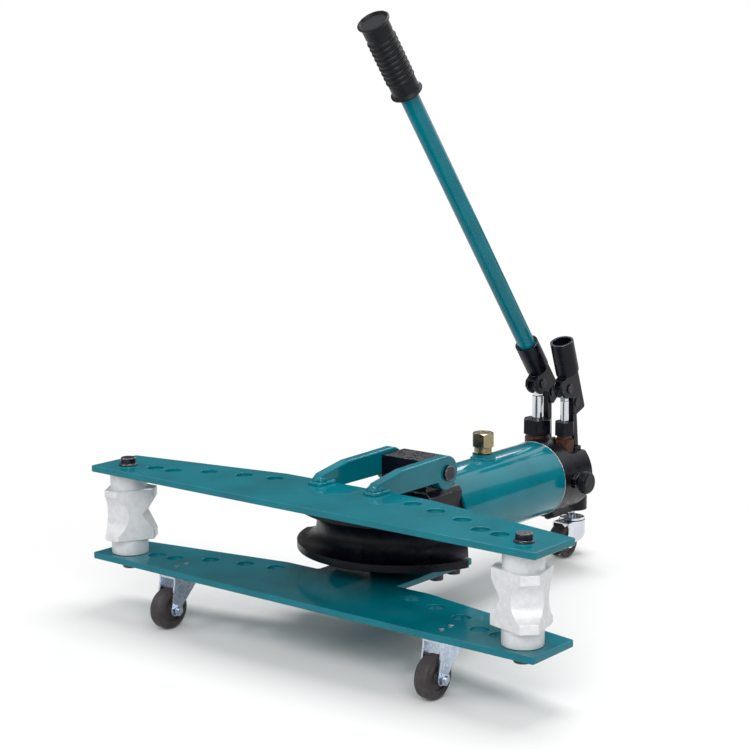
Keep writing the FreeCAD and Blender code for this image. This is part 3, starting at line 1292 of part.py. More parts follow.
# Rear caster
# A foot under the pump, a swivel stem with its race, a chrome hood and twin wheels.
def caster_foot():
    body = new_body("caster_foot")
    bar = rectangle(sketch_on(body, "XY"), "-foot_half", "foot_front - stem_back", "foot_half", "0")
    plate = pad(body, bar, "foot_thick")
    front = lambda edge: runs_along(Z_AXIS)(edge) and edge.CenterOfMass.y < -1
    soften(body, plate, "foot_half / 3", front)
    pad(body, circle(sketch_on(body, "XY"), "0", "0", "foot_boss / 2"), "foot_boss_tall")
    pocket(body, circle(sketch_on(body, "XY"), "0", "0", "stem_diameter / 2 + set_play"), "stem_deep + 0.3",
           reverse=True)
    screws = sketch_on(body, "XY")
    for back in ("foot_screw_first", "foot_screw_second"):
        circle(screws, "0", back + " - stem_back", "foot_screw / 2 + set_play")
    pocket(body, screws, "foot_thick", reverse=True)
    return place(body, "0", "stem_back", FOOT_LOW)


def foot_screws():
    members = []
    for back in ("foot_screw_first", "foot_screw_second"):
        screw = turned("foot_screw_one", [
            ("0", "-foot_screw * 0.6"),
            ("foot_screw * 0.6", "-foot_screw * 0.6"),
            ("foot_screw * 0.8", "-foot_screw * 0.4"),
            ("foot_screw * 0.8", "0"),
            ("foot_screw / 2", "0"),
            ("foot_screw / 2", "foot_thick + 11"),
            ("0", "foot_thick + 11"),
        ])
        members.append(place(screw, "0", back, FOOT_LOW))
    return group("foot_screws", members)


def rear_stem():
    """The stem with its collar on the race and its riveted end under the hood."""
    top = "(%s + stem_deep)" % FOOT_LOW
    seat = "(ring_low - 2 * gap_play - hood_wall)"
    above = "(ring_low + ring_tall - 1)"
    body = turned("rear_stem", [
        ("0", seat + " - 1.5"),
        ("stem_rivet / 2 - 1", seat + " - 1.5"),
        ("stem_rivet / 2", seat),
        ("stem_diameter / 2", seat),
        ("stem_diameter / 2", above),
        ("stem_collar / 2", above),
        ("stem_collar / 2", above + " + 3.5"),
        ("stem_diameter / 2", above + " + 6"),
        ("stem_diameter / 2", top + " - 1"),
        ("stem_diameter / 2 - 1", top),
        ("0", top),
    ])
    return place(body, "0", "stem_back", "0")


def rear_ring():
    """A shallow dish with a raised rim."""
    inner = "stem_diameter / 2 + set_play"
    body = turned("rear_ring", [
        (inner, "0"),
        ("ring_diameter / 2 - 1", "0"),
        ("ring_diameter / 2", "1"),
        ("ring_diameter / 2", "ring_tall - 0.8"),
        ("ring_diameter / 2 - 0.8", "ring_tall"),
        ("ring_diameter / 2 - 2", "ring_tall"),
        ("ring_diameter / 2 - 3", "ring_tall - 1"),
        (inner, "ring_tall - 1"),
    ])
    return place(body, "0", "stem_back", "ring_low")


def rear_hood():
    """A pressed hood: round under the race, narrow over the wheels, open in front and below."""
    body = new_body("rear_hood")
    roof = "(ring_low - gap_play - twin_diameter / 2)"
    rear = "(trail + hood_round)"
    slope = [
        ("trail - hood_round - 1", roof),
        ("trail - hood_round - 1", "-hood_end / 2"),
        ("hood_end * 0.8", "-hood_end * 0.6"),
        (rear + " - 5", roof + " - 17"),
        (rear + " + 1", roof + " - 9"),
        (rear + " + 1", roof),
    ]
    pad(body, polygon(sketch_on(body, "YZ"), slope), "2 * hood_round + 2", symmetric=True)
    outside = sketch_on(body, "XY")
    circle(outside, "0", "trail", "hood_round")
    circle(outside, "0", "trail", "4 * hood_round")
    pocket(body, outside)
    channel = [
        ("-hood_front", roof),
        ("-hood_front", roof + " - 12"),
        ("-hood_end * 0.95", "hood_end * 0.3"),
        ("0", "0"),
        ("hood_end * 0.8", "-hood_end * 0.6"),
        ("trail", "hood_end * 0.5"),
        ("trail", roof),
    ]
    pad(body, polygon(sketch_on(body, "YZ"), channel), "hood_wide", symmetric=True)
    pad(body, circle(sketch_on(body, "YZ"), "0", "0", "hood_end"), "hood_wide", symmetric=True)
    pot = circle(sketch_on(body, "XY", roof + " - hood_wall"), "0", "trail", "hood_round - hood_wall")
    pocket(body, pot, "2 * twin_diameter")
    inside = [
        ("-twin_diameter", "-twin_diameter"),
        ("-twin_diameter", roof + " - hood_wall"),
        ("trail", roof + " - hood_wall"),
        ("trail", "-twin_diameter"),
    ]
    cavity = polygon(sketch_on(body, "YZ"), inside)
    pocket(body, cavity, "hood_wide - 2 * hood_wall", symmetric=True)
    pocket(body, circle(sketch_on(body, "YZ"), "0", "0", "twin_axle / 2 + set_play"))
    swivel = circle(sketch_on(body, "XY", roof), "0", "trail", "stem_diameter / 2 + run_play")
    pocket(body, swivel, "2 * hood_wall")
    return place(body, "0", "stem_back - trail", "twin_diameter / 2")


def rear_wheel(label, sign):
    """A dish-shaped wheel whose tread slopes inwards to its twin."""
    wide = "twin_wide"
    radius = "(twin_diameter / 2)"
    body = turned(label, [
        ("twin_axle / 2 + run_play", "0"),
        (radius + " - twin_slope", "0"),
        (radius + " - 1", wide + " * 0.6"),
        (radius, wide + " * 0.75"),
        (radius + " - 0.6", wide + " - 1"),
        (radius + " - 1.8", wide),
        (radius + " - 6", wide),
        (radius + " - 7", wide + " - 1.2"),
        ("twin_axle / 2 + 4", wide + " - 1.2"),
        ("twin_axle / 2 + 3", wide),
        ("twin_axle / 2 + run_play", wide),
    ])
    turn = "90" if sign > 0 else "-90"
    across = "twin_inner" if sign > 0 else "-twin_inner"
    return place(body, across, "stem_back - trail", "twin_diameter / 2", Y_AXIS, turn)


def rear_axle():
    reach = "(hood_wide / 2)"
    body = turned("rear_axle", [
        ("0", "-%s - 2.5" % reach),
        ("twin_axle / 2 + 1.5", "-%s - 2.5" % reach),
        ("twin_axle / 2 + 2.5", "-%s - 1.5" % reach),
        ("twin_axle / 2 + 2.5", "-" + reach),
        ("twin_axle / 2", "-" + reach),
        ("twin_axle / 2", reach),
        ("twin_axle / 2 + 2.5", reach),
        ("twin_axle / 2 + 2.5", reach + " + 1.5"),
        ("twin_axle / 2 + 1.5", reach + " + 2.5"),
        ("0", reach + " + 2.5"),
    ])
    return place(body, "0", "stem_back - trail", "twin_diameter / 2", Y_AXIS, "90")


def build():
    pieces = [lower_wing(), upper_wing(), hinge_pin(), head_block(), tongue_screws(), bending_die(), ram()]
    pieces += [hinge_arm("hinge_arm_left", -1), hinge_arm("hinge_arm_right", 1)]
    pieces += hydraulic_rings()
    pieces += [reservoir_tube()] + filler()
    pieces += [roller("roller_left", "-roller_across", "left_turn")]
    pieces += [roller("roller_right", "roller_across", "right_turn")]
    pieces += [roller_pin("roller_pin_left", "-roller_across"), roller_pin("roller_pin_right", "roller_across")]
    pieces += [pump_body(), link_pins()]
    sides = (
        ("left", "-plunger_across", "big_plunger", "left_lean", "left_link"),
        ("right", "plunger_across", "small_plunger", "right_lean", "right_link"),
    )
    for side, across, rod, lean, link in sides:
        if side == "left":
            pieces.append(valve_base("valve_base_left", across, rod, "big_fitting", None, "big_nut_low"))
            nut = ("big_nut_flats", "big_nut_round", "big_nut_low", "big_nut_tall")
        else:
            pieces.append(valve_base("valve_base_right", across, rod, "small_fitting", "small_fitting_flats",
                                     "small_nut_low"))
            nut = ("small_nut_flats", "small_nut_round", "small_nut_low", "small_nut_tall")
        pieces.append(gland_nut("gland_nut_" + side, across, rod, *nut))
        pieces.append(packing("plunger_seal_" + side, across, rod, nut[2]))
        pieces.append(plunger("plunger_" + side, across, rod, lean, link))
        pieces.append(plunger_pin("plunger_pin_" + side, across, lean, link))
        pieces.append(fulcrum_pin("fulcrum_pin_" + side, across, lean, link))
        pieces.append(lever_link("lever_link_" + side, across, lean, link))
        pieces.append(lever_socket("lever_socket_" + side, across, lean, link))
    pieces += handle() + release_valve()
    pieces += [front_bracket("front_bracket_left", "-caster_across")]
    pieces += [front_bracket("front_bracket_right", "caster_across")]
    pieces += [front_wheel("front_wheel_left", "-caster_across"), front_wheel("front_wheel_right", "caster_across")]
    pieces += front_axles() + [caster_screws(), caster_foot(), foot_screws(), rear_stem(), rear_ring()]
    pieces += [rear_hood(), rear_wheel("rear_wheel_left", -1), rear_wheel("rear_wheel_right", 1), rear_axle()]
    return pieces


def check(pieces):
    """Stop if any feature failed or any piece has no sound solid."""
    for item in doc.Objects:
        if "Invalid" in item.State or "Error" in item.State:
            raise RuntimeError("%s (%s) failed: %s" % (item.Name, item.Label, item.State))
    for piece in pieces:
        shape = piece.Shape
        if shape.isNull() or not shape.isValid() or shape.Volume <= 0:
            raise RuntimeError("%s has no sound solid" % piece.Label)


pieces = build()
doc.recompute()
check(pieces)
os.makedirs("parts", exist_ok=True)
for piece in pieces:
    piece.Shape.exportStep("parts/%s.step" % piece.Label)
print("%d pieces written" % len(pieces))
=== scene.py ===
# %% [markdown]
# # A hydraulic pipe bender
# The tool has two steel wings that hold grooved rollers, a curved die on a ram between them, and a
# hand pump behind. The solids come packed from the CAD model and stay where they are. This file
# gives each of them its finish, adds the small things that a workshop leaves on such a tool, such
# as weld beads and screw threads, and sets up the studio.

import json
import math

import bmesh
import bpy
from mathutils import Matrix, Vector


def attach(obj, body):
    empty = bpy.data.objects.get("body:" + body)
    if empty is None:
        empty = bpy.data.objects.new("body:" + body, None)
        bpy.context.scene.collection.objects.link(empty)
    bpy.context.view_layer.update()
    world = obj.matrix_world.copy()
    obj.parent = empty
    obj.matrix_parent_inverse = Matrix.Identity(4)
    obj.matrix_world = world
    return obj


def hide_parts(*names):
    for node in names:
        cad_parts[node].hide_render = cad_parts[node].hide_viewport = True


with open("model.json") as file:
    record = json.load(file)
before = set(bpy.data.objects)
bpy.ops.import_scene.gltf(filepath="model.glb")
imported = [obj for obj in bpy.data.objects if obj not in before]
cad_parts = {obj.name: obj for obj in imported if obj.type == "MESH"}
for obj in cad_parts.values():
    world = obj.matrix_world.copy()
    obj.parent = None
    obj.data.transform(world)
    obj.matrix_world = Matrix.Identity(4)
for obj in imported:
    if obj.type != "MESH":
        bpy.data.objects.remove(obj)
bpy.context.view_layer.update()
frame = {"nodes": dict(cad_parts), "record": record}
nodes = frame["nodes"]
bodies = frame["record"]["behaviour"]["bodies"]
body_of = {name: body for body, names in bodies.items() for name in names}
MM = 0.001

# %% [markdown]
# ## Colours and nodes
# A screen colour such as #007884 is stored with a curve that suits the eye, while light is added
# up in straight numbers. One function turns the first into the second, so that every colour in
# this file can be written the way a colour picker shows it.

# %% One helper for colours and one for shader nodes
def colour(code):
    """A hex screen colour as the linear colour that a shader adds up."""
    parts = [int(code[step:step + 2], 16) / 255 for step in (1, 3, 5)]
    linear = [part / 12.92 if part <= 0.04045 else ((part + 0.055) / 1.055) ** 2.4 for part in parts]
    return (*linear, 1.0)


def add(tree, kind, links=None, **settings):
    """Add one node: settings are its own properties, links are sockets or plain values for its inputs."""
    node = tree.nodes.new(kind)
    for name, value in settings.items():
        setattr(node, name, value)
    for name, value in (links or {}).items():
        socket = node.inputs[name]
        if isinstance(value, bpy.types.NodeSocket):
            tree.links.new(value, socket)
        else:
            socket.default_value = value
    return node


print("teal in linear numbers:", [round(part, 3) for part in colour("#007884")])

# %% [markdown]
# ## A blank to start each finish from
# Every finish here is one Principled shader. What changes is what feeds its colour, roughness and
# bump. All patterns read Object coordinates, which are metres in the tool's own frame, so a grain
# of half a millimetre is half a millimetre on every piece.

# %% Start a material and its usual parts
def new_finish(name):
    """A material with a Principled shader, and the object coordinates that its patterns read."""
    material = bpy.data.materials.new(name)
    material.use_nodes = True
    tree = material.node_tree
    tree.nodes.clear()
    shader = add(tree, "ShaderNodeBsdfPrincipled")
    output = add(tree, "ShaderNodeOutputMaterial")
    tree.links.new(shader.outputs["BSDF"], output.inputs["Surface"])
    place = add(tree, "ShaderNodeTexCoord").outputs["Object"]
    return material, tree, shader, place


def grain(tree, place, size_mm, detail=2.0, roughness=0.5):
    """Noise whose blobs are about size_mm across."""
    return add(tree, "ShaderNodeTexNoise", {
        "Vector": place, "Scale": 1 / (size_mm * MM), "Detail": detail, "Roughness": roughness,
    }).outputs["Fac"]


def spread(tree, factor, low, high, from_low=0.35, from_high=0.65):
    """Stretch a noise's middle to run from low to high."""
    return add(tree, "ShaderNodeMapRange", {
        "Value": factor, "From Min": from_low, "From Max": from_high, "To Min": low, "To Max": high,
    }).outputs["Result"]


def blend_colours(tree, factor, first, second):
    """Mix two colours, each a hex code or a socket, by a factor from 0 to 1."""
    mix = add(tree, "ShaderNodeMix", data_type="RGBA")
    tree.links.new(factor, mix.inputs["Factor"])
    for socket, value in ((mix.inputs[6], first), (mix.inputs[7], second)):
        if isinstance(value, bpy.types.NodeSocket):
            tree.links.new(value, socket)
        else:
            socket.default_value = colour(value)
    return mix.outputs[2]


def bumps(tree, shader, layers):
    """Chain bump layers of (height socket, depth in mm) into the shader's normal."""
    normal = None
    for height, depth_mm in layers:
        links = {"Height": height, "Distance": depth_mm * MM, "Strength": 1.0}
        if normal:
            links["Normal"] = normal
        normal = add(tree, "ShaderNodeBump", links).outputs["Normal"]
    tree.links.new(normal, shader.inputs["Normal"])


finishes = {}
print("blank finish ready")

# %% [markdown]
# ## Teal enamel
# The wings, hinge arms, outer cylinder and handle are sprayed with a glossy teal enamel. Sprayed
# enamel levels out to a mirror, and keeps only long shallow waves, a few centimetres across, that
# make reflections swim a little. The colour is even, with a slightly thinner coat here and there.

# %% Mix the teal enamel
def make_enamel(name, body_hex, thin_hex, roughness):
    """Sprayed gloss paint: a weak shine of its own under a thin clear coat that draws sharp lines."""
    material, tree, shader, place = new_finish(name)
    cloud = spread(tree, grain(tree, place, 60), 0, 1, 0.4, 0.7)
    tree.links.new(blend_colours(tree, cloud, body_hex, thin_hex), shader.inputs["Base Color"])
    shader.inputs["Roughness"].default_value = roughness
    shader.inputs["IOR"].default_value = 1.5
    shader.inputs["Specular IOR Level"].default_value = 0.12
    shader.inputs["Coat Weight"].default_value = 0.25
    shader.inputs["Coat Roughness"].default_value = 0.03
    sag = grain(tree, place, 24, 0.0)
    bumps(tree, shader, [(sag, 0.03)])
    finishes[name] = material
    return material


make_enamel("teal_enamel", "#006F7D", "#006470", 0.14)
print(finishes["teal_enamel"].name, "mixed")

# %% [markdown]
# ## Black paint
# The head block, the lever sockets and the nuts are brushed black over machined or pressed
# steel. It is a satin black with a cool sheen, and it dulls a little where hands and dust reach.

# %% Mix the satin black
def make_black(name, body_hex, dusty_hex, roughness, pits_mm, pit_depth):
    """Satin black paint over a skin of pits; the depths are in mm."""
    material, tree, shader, place = new_finish(name)
    dust = spread(tree, grain(tree, place, 18, 3.0), 0, 1, 0.45, 0.7)
    tree.links.new(blend_colours(tree, dust, body_hex, dusty_hex), shader.inputs["Base Color"])
    sheen = spread(tree, grain(tree, place, 9, 2.0), roughness - 0.06, roughness + 0.08)
    tree.links.new(sheen, shader.inputs["Roughness"])
    shader.inputs["IOR"].default_value = 1.5
    shader.inputs["Specular IOR Level"].default_value = 0.2
    pits = grain(tree, place, pits_mm, 3.0, 0.6)
    swell = grain(tree, place, 11, 1.0)
    bumps(tree, shader, [(swell, pit_depth * 2.5), (pits, pit_depth)])
    finishes[name] = material
    return material


make_black("black_enamel", "#0A0B16", "#14151F", 0.28, 1.2, 0.012)
print(finishes["black_enamel"].name, "mixed")

# %% [markdown]
# ## Black castings
# The bending die and the pump body are sand castings under black paint. Sand leaves a skin of
# grains half a millimetre to two millimetres across, and broad shallow swells. Here they are two
# bump layers of one noise each.

# %% Mix the black casting
make_black("black_casting", "#0A0B16", "#14151F", 0.33, 1.0, 0.11)
print(finishes["black_casting"].name, "mixed")

# %% [markdown]
# ## Bare castings
# The rollers are bare cast steel, shot-blasted to a light silver grey. The skin is pitted, and
# it shines only on the worn high spots.

# %% Mix the blasted casting
def make_blasted(name):
    """Bare cast steel with a blasted skin, which scatters light more than it mirrors it."""
    material, tree, shader, place = new_finish(name)
    patch = spread(tree, grain(tree, place, 7, 4.0, 0.6), 0, 1, 0.35, 0.7)
    tree.links.new(blend_colours(tree, patch, "#CFD1D4", "#DEDFE0"), shader.inputs["Base Color"])
    shader.inputs["Metallic"].default_value = 0.2
    tree.links.new(spread(tree, grain(tree, place, 3, 3.0), 0.34, 0.55), shader.inputs["Roughness"])
    pits = grain(tree, place, 1.0, 4.0, 0.7)
    swell = grain(tree, place, 9, 2.0)
    bumps(tree, shader, [(swell, 0.06), (pits, 0.12)])
    finishes[name] = material
    return material


make_blasted("grey_casting")
print(finishes["grey_casting"].name, "mixed")

# %% [markdown]
# ## Steels
# Turned steel keeps the lathe's fine rings and a little oil, plated steel is cooler and more
# even, and old steel browns. All of them are metal, so the colour belongs to the reflection. The
# patterns are noise of one size in millimetres, stretched by what made the surface.

# %% Mix the steels
def make_steel(name, clean_hex, stained_hex, low, high, grain_mm=2.0, depth_mm=0.01, metallic=1.0):
    """Metal whose roughness wanders from low to high over spots of grain_mm."""
    material, tree, shader, place = new_finish(name)
    stain = spread(tree, grain(tree, place, grain_mm * 4, 3.0), 0, 1, 0.4, 0.7)
    tree.links.new(blend_colours(tree, stain, clean_hex, stained_hex), shader.inputs["Base Color"])
    shader.inputs["Metallic"].default_value = metallic
    tree.links.new(spread(tree, grain(tree, place, grain_mm, 2.0), low, high), shader.inputs["Roughness"])
    bumps(tree, shader, [(grain(tree, place, grain_mm, 2.0), depth_mm)])
    finishes[name] = material
    return material


make_steel("dark_steel", "#414147", "#2D2D32", 0.26, 0.4)
make_steel("bright_steel", "#B9BBBF", "#A3A5A9", 0.2, 0.32)
make_steel("zinc_plate", "#C6D0DE", "#AFBBCD", 0.24, 0.38, 3.0)
make_steel("yellow_zinc", "#9E9268", "#8E7F82", 0.2, 0.32, 5.0)
make_steel("brown_steel", "#5A3A2E", "#33231F", 0.4, 0.6, 2.0, 0.03, 0.6)
make_steel("chrome_plate", "#D9DCE2", "#CDD1D8", 0.05, 0.09, 6.0, 0.002)
make_steel("bronze", "#B08D57", "#94733F", 0.28, 0.42)
print("steels mixed:", [name for name in finishes if "steel" in name or "zinc" in name])

# %% [markdown]
# ## Rubbed edges
# Black paint and blueing wear off along edges first. The band that a bevel makes gets its own
# finish: the same black, broken by patches a few millimetres long where the steel shines through.

# %% Mix the rubbed edges
def make_rubbed(name, paint_hex, steel_hex, bare_share):
    """Paint with bare steel in patches; a larger bare_share lets more of the steel through."""
    material, tree, shader, place = new_finish(name)
    bare_from = 0.62 - bare_share * 0.3
    patch = spread(tree, grain(tree, place, 5, 3.0, 0.6), 0, 1, bare_from, bare_from + 0.1)
    tree.links.new(blend_colours(tree, patch, paint_hex, steel_hex), shader.inputs["Base Color"])
    tree.links.new(spread(tree, patch, 0, 0.85, 0, 1), shader.inputs["Metallic"])
    tree.links.new(spread(tree, patch, 0.32, 0.24, 0, 1), shader.inputs["Roughness"])
    shader.inputs["Specular IOR Level"].default_value = 0.35
    bumps(tree, shader, [(grain(tree, place, 1.2), 0.01)])
    finishes[name] = material
    return material


make_rubbed("rubbed_black_enamel", "#15161F", "#6E6F75", 0.35)
make_rubbed("rubbed_dark_steel", "#3B3B42", "#8C8D92", 0.45)
make_rubbed("rubbed_brown_steel", "#3E2B25", "#8A6A58", 0.45)
print([name for name in finishes if name.startswith("rubbed")])

# %% [markdown]
# ## Rubber
# The wheels are a dark grey-brown moulded rubber, the grip a black one and the seals a harder
# black. Rubber scatters light in a fine skin, so it is rough, with a soft sheen at its edges.

# %% Mix the rubbers
def make_rubber(name, clean_hex, dusty_hex, low, high):
    """Moulded rubber under a little dust, with roughness from low to high."""
    material, tree, shader, place = new_finish(name)
    dust = spread(tree, grain(tree, place, 12, 3.0), 0, 1, 0.4, 0.7)
    tree.links.new(blend_colours(tree, dust, clean_hex, dusty_hex), shader.inputs["Base Color"])
    tree.links.new(spread(tree, grain(tree, place, 4, 2.0), low, high), shader.inputs["Roughness"])
    shader.inputs["IOR"].default_value = 1.52
    shader.inputs["Specular IOR Level"].default_value = 0.22
    shader.inputs["Sheen Weight"].default_value = 0.02
    bumps(tree, shader, [(grain(tree, place, 0.9, 2.0), 0.02)])
    finishes[name] = material
    return material


make_rubber("grey_rubber", "#383436", "#474244", 0.42, 0.6)
make_rubber("black_grip", "#08090F", "#0F1018", 0.34, 0.5)
make_rubber("seal_rubber", "#1A1A1A", "#222222", 0.4, 0.5)
print(len(finishes), "finishes in all")

# %% [markdown]
# ## Dress the solids
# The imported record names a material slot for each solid, and the finishes above carry the same
# names, so one loop dresses them all.

# %% Give each solid its finish
slot_of = {part["node"]: part["material_slot"] for part in frame["record"]["subparts"]}
for name, solid in nodes.items():
    solid.data.materials.clear()
    solid.data.materials.append(finishes[slot_of[name]])
print(len(slot_of), "solids dressed")

# %% [markdown]
# ## Edges that catch the light
# A sawn, drilled or cast edge is never sharp. Paint rounds it further, and hands rub it bright.
# A bevel on a copy of the solid gives each edge that narrow round band, which is what draws the
# thin highlight along a real edge. The copy's loose triangles are merged first, and its flat faces
# are joined, so that the bevel finds one edge where the eye sees one. Normals weighted by area keep
# the large faces flat right up to the band.

# %% Round the edges of a copied solid
SAME_PLACE = 0.002
FLAT_TO, SHARP_FROM = 1, 30


def softened(name, width_mm, rubbed=None):
    """A copy of a solid with rounded edges, which takes its place; rubbed is the finish of the bands."""
    work = bmesh.new()
    work.from_mesh(nodes[name].data)
    bmesh.ops.remove_doubles(work, verts=work.verts, dist=SAME_PLACE * MM)
    bmesh.ops.dissolve_limit(work, angle_limit=math.radians(FLAT_TO), verts=work.verts, edges=work.edges)
    mesh = bpy.data.meshes.new(name + "_finished")
    work.to_mesh(mesh)
    work.free()
    mesh.shade_smooth()
    mesh.materials.append(finishes[slot_of[name]])
    if rubbed:
        mesh.materials.append(finishes[rubbed])
    piece = bpy.data.objects.new(mesh.name, mesh)
    bpy.context.scene.collection.objects.link(piece)
    bevel = piece.modifiers.new("round_edges", "BEVEL")
    bevel.width = width_mm * MM
    bevel.segments = 2
    bevel.limit_method = "ANGLE"
    bevel.angle_limit = math.radians(SHARP_FROM)
    bevel.use_clamp_overlap = False
    bevel.material = 1 if rubbed else -1
    weight = piece.modifiers.new("flat_faces", "WEIGHTED_NORMAL")
    weight.keep_sharp = True
    keep(piece)
    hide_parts(name)
    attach(piece, body_of[name])
    return piece


def keep(piece):
    """Turn what the modifiers make into the object's own plain mesh."""
    evaluated = piece.evaluated_get(bpy.context.evaluated_depsgraph_get())
    result = bpy.data.meshes.new_from_object(evaluated)
    result.name = piece.name
    piece.modifiers.clear()
    piece.data = result


edge_widths = {
    "upper_wing": 0.7, "lower_wing": 0.7, "bending_die": 0.7, "pump_body": 0.6, "reservoir_tube": 0.5,
    "roller_left": 0.7, "roller_right": 0.7, "front_bracket_left": 0.3, "front_bracket_right": 0.3,
    "rear_hood": 0.3, "release_knob": 0.4,
}
rubbed_widths = {
    "head_block": 0.6, "hinge_pin": 0.5, "lever_socket_left": 0.35, "lever_socket_right": 0.35,
    "gland_nut_left": 0.4, "gland_nut_right": 0.35, "valve_base_left": 0.3, "roller_pin_left": 0.4,
    "roller_pin_right": 0.4, "tongue_screws": 0.35, "release_valve": 0.4, "relief_plug": 0.4,
    "lever_link_left": 0.3, "lever_link_right": 0.3, "caster_foot": 0.4, "front_axle_bolts": 0.3,
    "front_axle_nuts": 0.3,
}
for name, width in edge_widths.items():
    softened(name, width)
for name, width in rubbed_widths.items():
    rubbed = "rubbed_" + slot_of[name]
    softened(name, width, rubbed if rubbed in finishes else None)
print(len(edge_widths) + len(rubbed_widths), "solids have soft edges")

# %% [markdown]
# ## Growing small things on the solids
# Weld beads, threads, knurls and paint nibs all repeat or follow a line, so Geometry Nodes make
# them. A tree is a recipe with named sizes: the same recipe sweeps a weld round a boss and a thread
# up a neck. Each one is run on a few points, and its result is kept as a plain mesh on the body
# that carries it.

# %% Start a tree, and run one
def new_tree(name, **sizes):
    """A node tree with geometry in and out and named inputs; a Material is an input without a value."""
    tree = bpy.data.node_groups.new(name, "GeometryNodeTree")
    tree.interface.new_socket("Geometry", in_out="INPUT", socket_type="NodeSocketGeometry")
    tree.interface.new_socket("Geometry", in_out="OUTPUT", socket_type="NodeSocketGeometry")
    for label, value in sizes.items():
        kind = {float: "NodeSocketFloat", int: "NodeSocketInt", type(None): "NodeSocketMaterial"}[type(value)]
        socket = tree.interface.new_socket(label, in_out="INPUT", socket_type=kind)
        if value is not None:
            socket.default_value = value
    return tree, tree.nodes.new("NodeGroupInput").outputs, tree.nodes.new("NodeGroupOutput").inputs


def grow(name, tree, body, slot, points, lines, **sizes):
    """Run a tree on points in mm joined by lines, and keep the result on one body."""
    mesh = bpy.data.meshes.new(name)
    mesh.from_pydata([Vector(point) * MM for point in points], lines, [])
    return grow_on(bpy.data.objects.new(name, mesh), tree, body, slot, **sizes)


def grow_on(piece, tree, body, slot, **sizes):
    """Run a tree on an object's own mesh, and keep the result on one body."""
    bpy.context.scene.collection.objects.link(piece)
    modifier = piece.modifiers.new("grow", "NODES")
    modifier.node_group = tree
    sizes["Finish"] = finishes[slot]
    for item in tree.interface.items_tree:
        if item.in_out == "INPUT" and item.name in sizes:
            modifier[item.identifier] = sizes[item.name]
    keep(piece)
    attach(piece, body)
    print(piece.name, len(piece.data.polygons), "faces on", body)
    return piece


def chain(points, closed=False):
    """Points and the lines that join each to the next."""
    lines = [(step, step + 1) for step in range(len(points) - 1)]
    return points, lines + ([(len(points) - 1, 0)] if closed else [])


def round_path(centre, radius, axis, count=64, start=0.0, turn=360.0, rise=0.0):
    """Points round an axis, climbing along it by rise over the whole turn."""
    along = Vector(axis).normalized()
    side = along.orthogonal().normalized()
    up = along.cross(side)
    full = turn == 360.0 and not rise
    points = []
    for step in range(count):
        share = step / (count if full else count - 1)
        angle = math.radians(start + turn * share)
        offset = side * math.cos(angle) * radius + up * math.sin(angle) * radius
        points.append(Vector(centre) + offset + along * rise * share)
    return points


# %% [markdown]
# ## A swept bead
# One recipe serves welds, threads, knurls and moulded rings: a round section swept along a line.
# Ripples along the line make the scales of a weld pool, which froze one after the other about every
# millimetre and a half. A slow noise lets the line wander like a hand-held torch. With no ripple
# and no wander the same bead is a clean turned ring.

# %% Tree of the swept bead
def make_swept_bead():
    tree, given, result = new_tree("swept_bead", **{
        "Bead radius": 0.002, "Ripple": 0.0015, "Ripple depth": 0.0, "Wander": 0.0, "Step": 0.0005,
        "Sides": 10, "Finish": None,
    })
    line = add(tree, "GeometryNodeMeshToCurve", {"Mesh": given["Geometry"]}).outputs["Curve"]
    line = add(tree, "GeometryNodeResampleCurve", {"Curve": line, "Length": given["Step"]},
               mode="LENGTH").outputs[0]
    place = add(tree, "GeometryNodeInputPosition").outputs[0]
    drift = add(tree, "ShaderNodeTexNoise", {"Vector": place, "Scale": 180.0, "Detail": 1.0}).outputs["Color"]
    drift = add(tree, "ShaderNodeVectorMath", {0: drift, 1: (0.5, 0.5, 0.5)}, operation="SUBTRACT").outputs[0]
    drift = add(tree, "ShaderNodeVectorMath", {0: drift, "Scale": given["Wander"]},
                operation="SCALE").outputs[0]
    line = add(tree, "GeometryNodeSetPosition", {"Geometry": line, "Offset": drift}).outputs[0]
    length = add(tree, "GeometryNodeSplineParameter").outputs["Length"]
    wave = add(tree, "ShaderNodeMath", {0: length, 1: given["Ripple"]}, operation="DIVIDE").outputs[0]
    wave = add(tree, "ShaderNodeMath", {0: wave}, operation="FRACT").outputs[0]
    dip = add(tree, "ShaderNodeMath", {0: wave, 1: wave}, operation="MULTIPLY").outputs[0]
    dip = add(tree, "ShaderNodeMath", {0: dip, 1: given["Ripple depth"]}, operation="MULTIPLY").outputs[0]
    width = add(tree, "ShaderNodeMath", {0: 1.0, 1: dip}, operation="SUBTRACT").outputs[0]
    section = add(tree, "GeometryNodeCurvePrimitiveCircle", {
        "Resolution": given["Sides"], "Radius": given["Bead radius"],
    }).outputs["Curve"]
    bead = add(tree, "GeometryNodeCurveToMesh", {
        "Curve": line, "Profile Curve": section, "Scale": width, "Fill Caps": True,
    }).outputs[0]
    bead = add(tree, "GeometryNodeSetShadeSmooth", {"Geometry": bead}).outputs[0]
    bead = add(tree, "GeometryNodeRealizeInstances", {"Geometry": bead}).outputs[0]
    bead = add(tree, "GeometryNodeSetMaterial", {"Geometry": bead, "Material": given["Finish"]}).outputs[0]
    tree.links.new(bead, result["Geometry"])
    return tree


swept_bead = make_swept_bead()
print("inputs:", [item.name for item in swept_bead.interface.items_tree if item.in_out == "INPUT"])

# %% [markdown]
# ## Welds
# Each hinge arm is welded to the upper wing along both sides of its foot and round its toe, and a
# second, fatter bead builds up the toe. The filler boss is welded into the outer cylinder. The
# enamel runs over the beads and makes them shine. The path of the boss weld is where a round boss
# meets a round tube: the height at each point follows from the tube's radius.

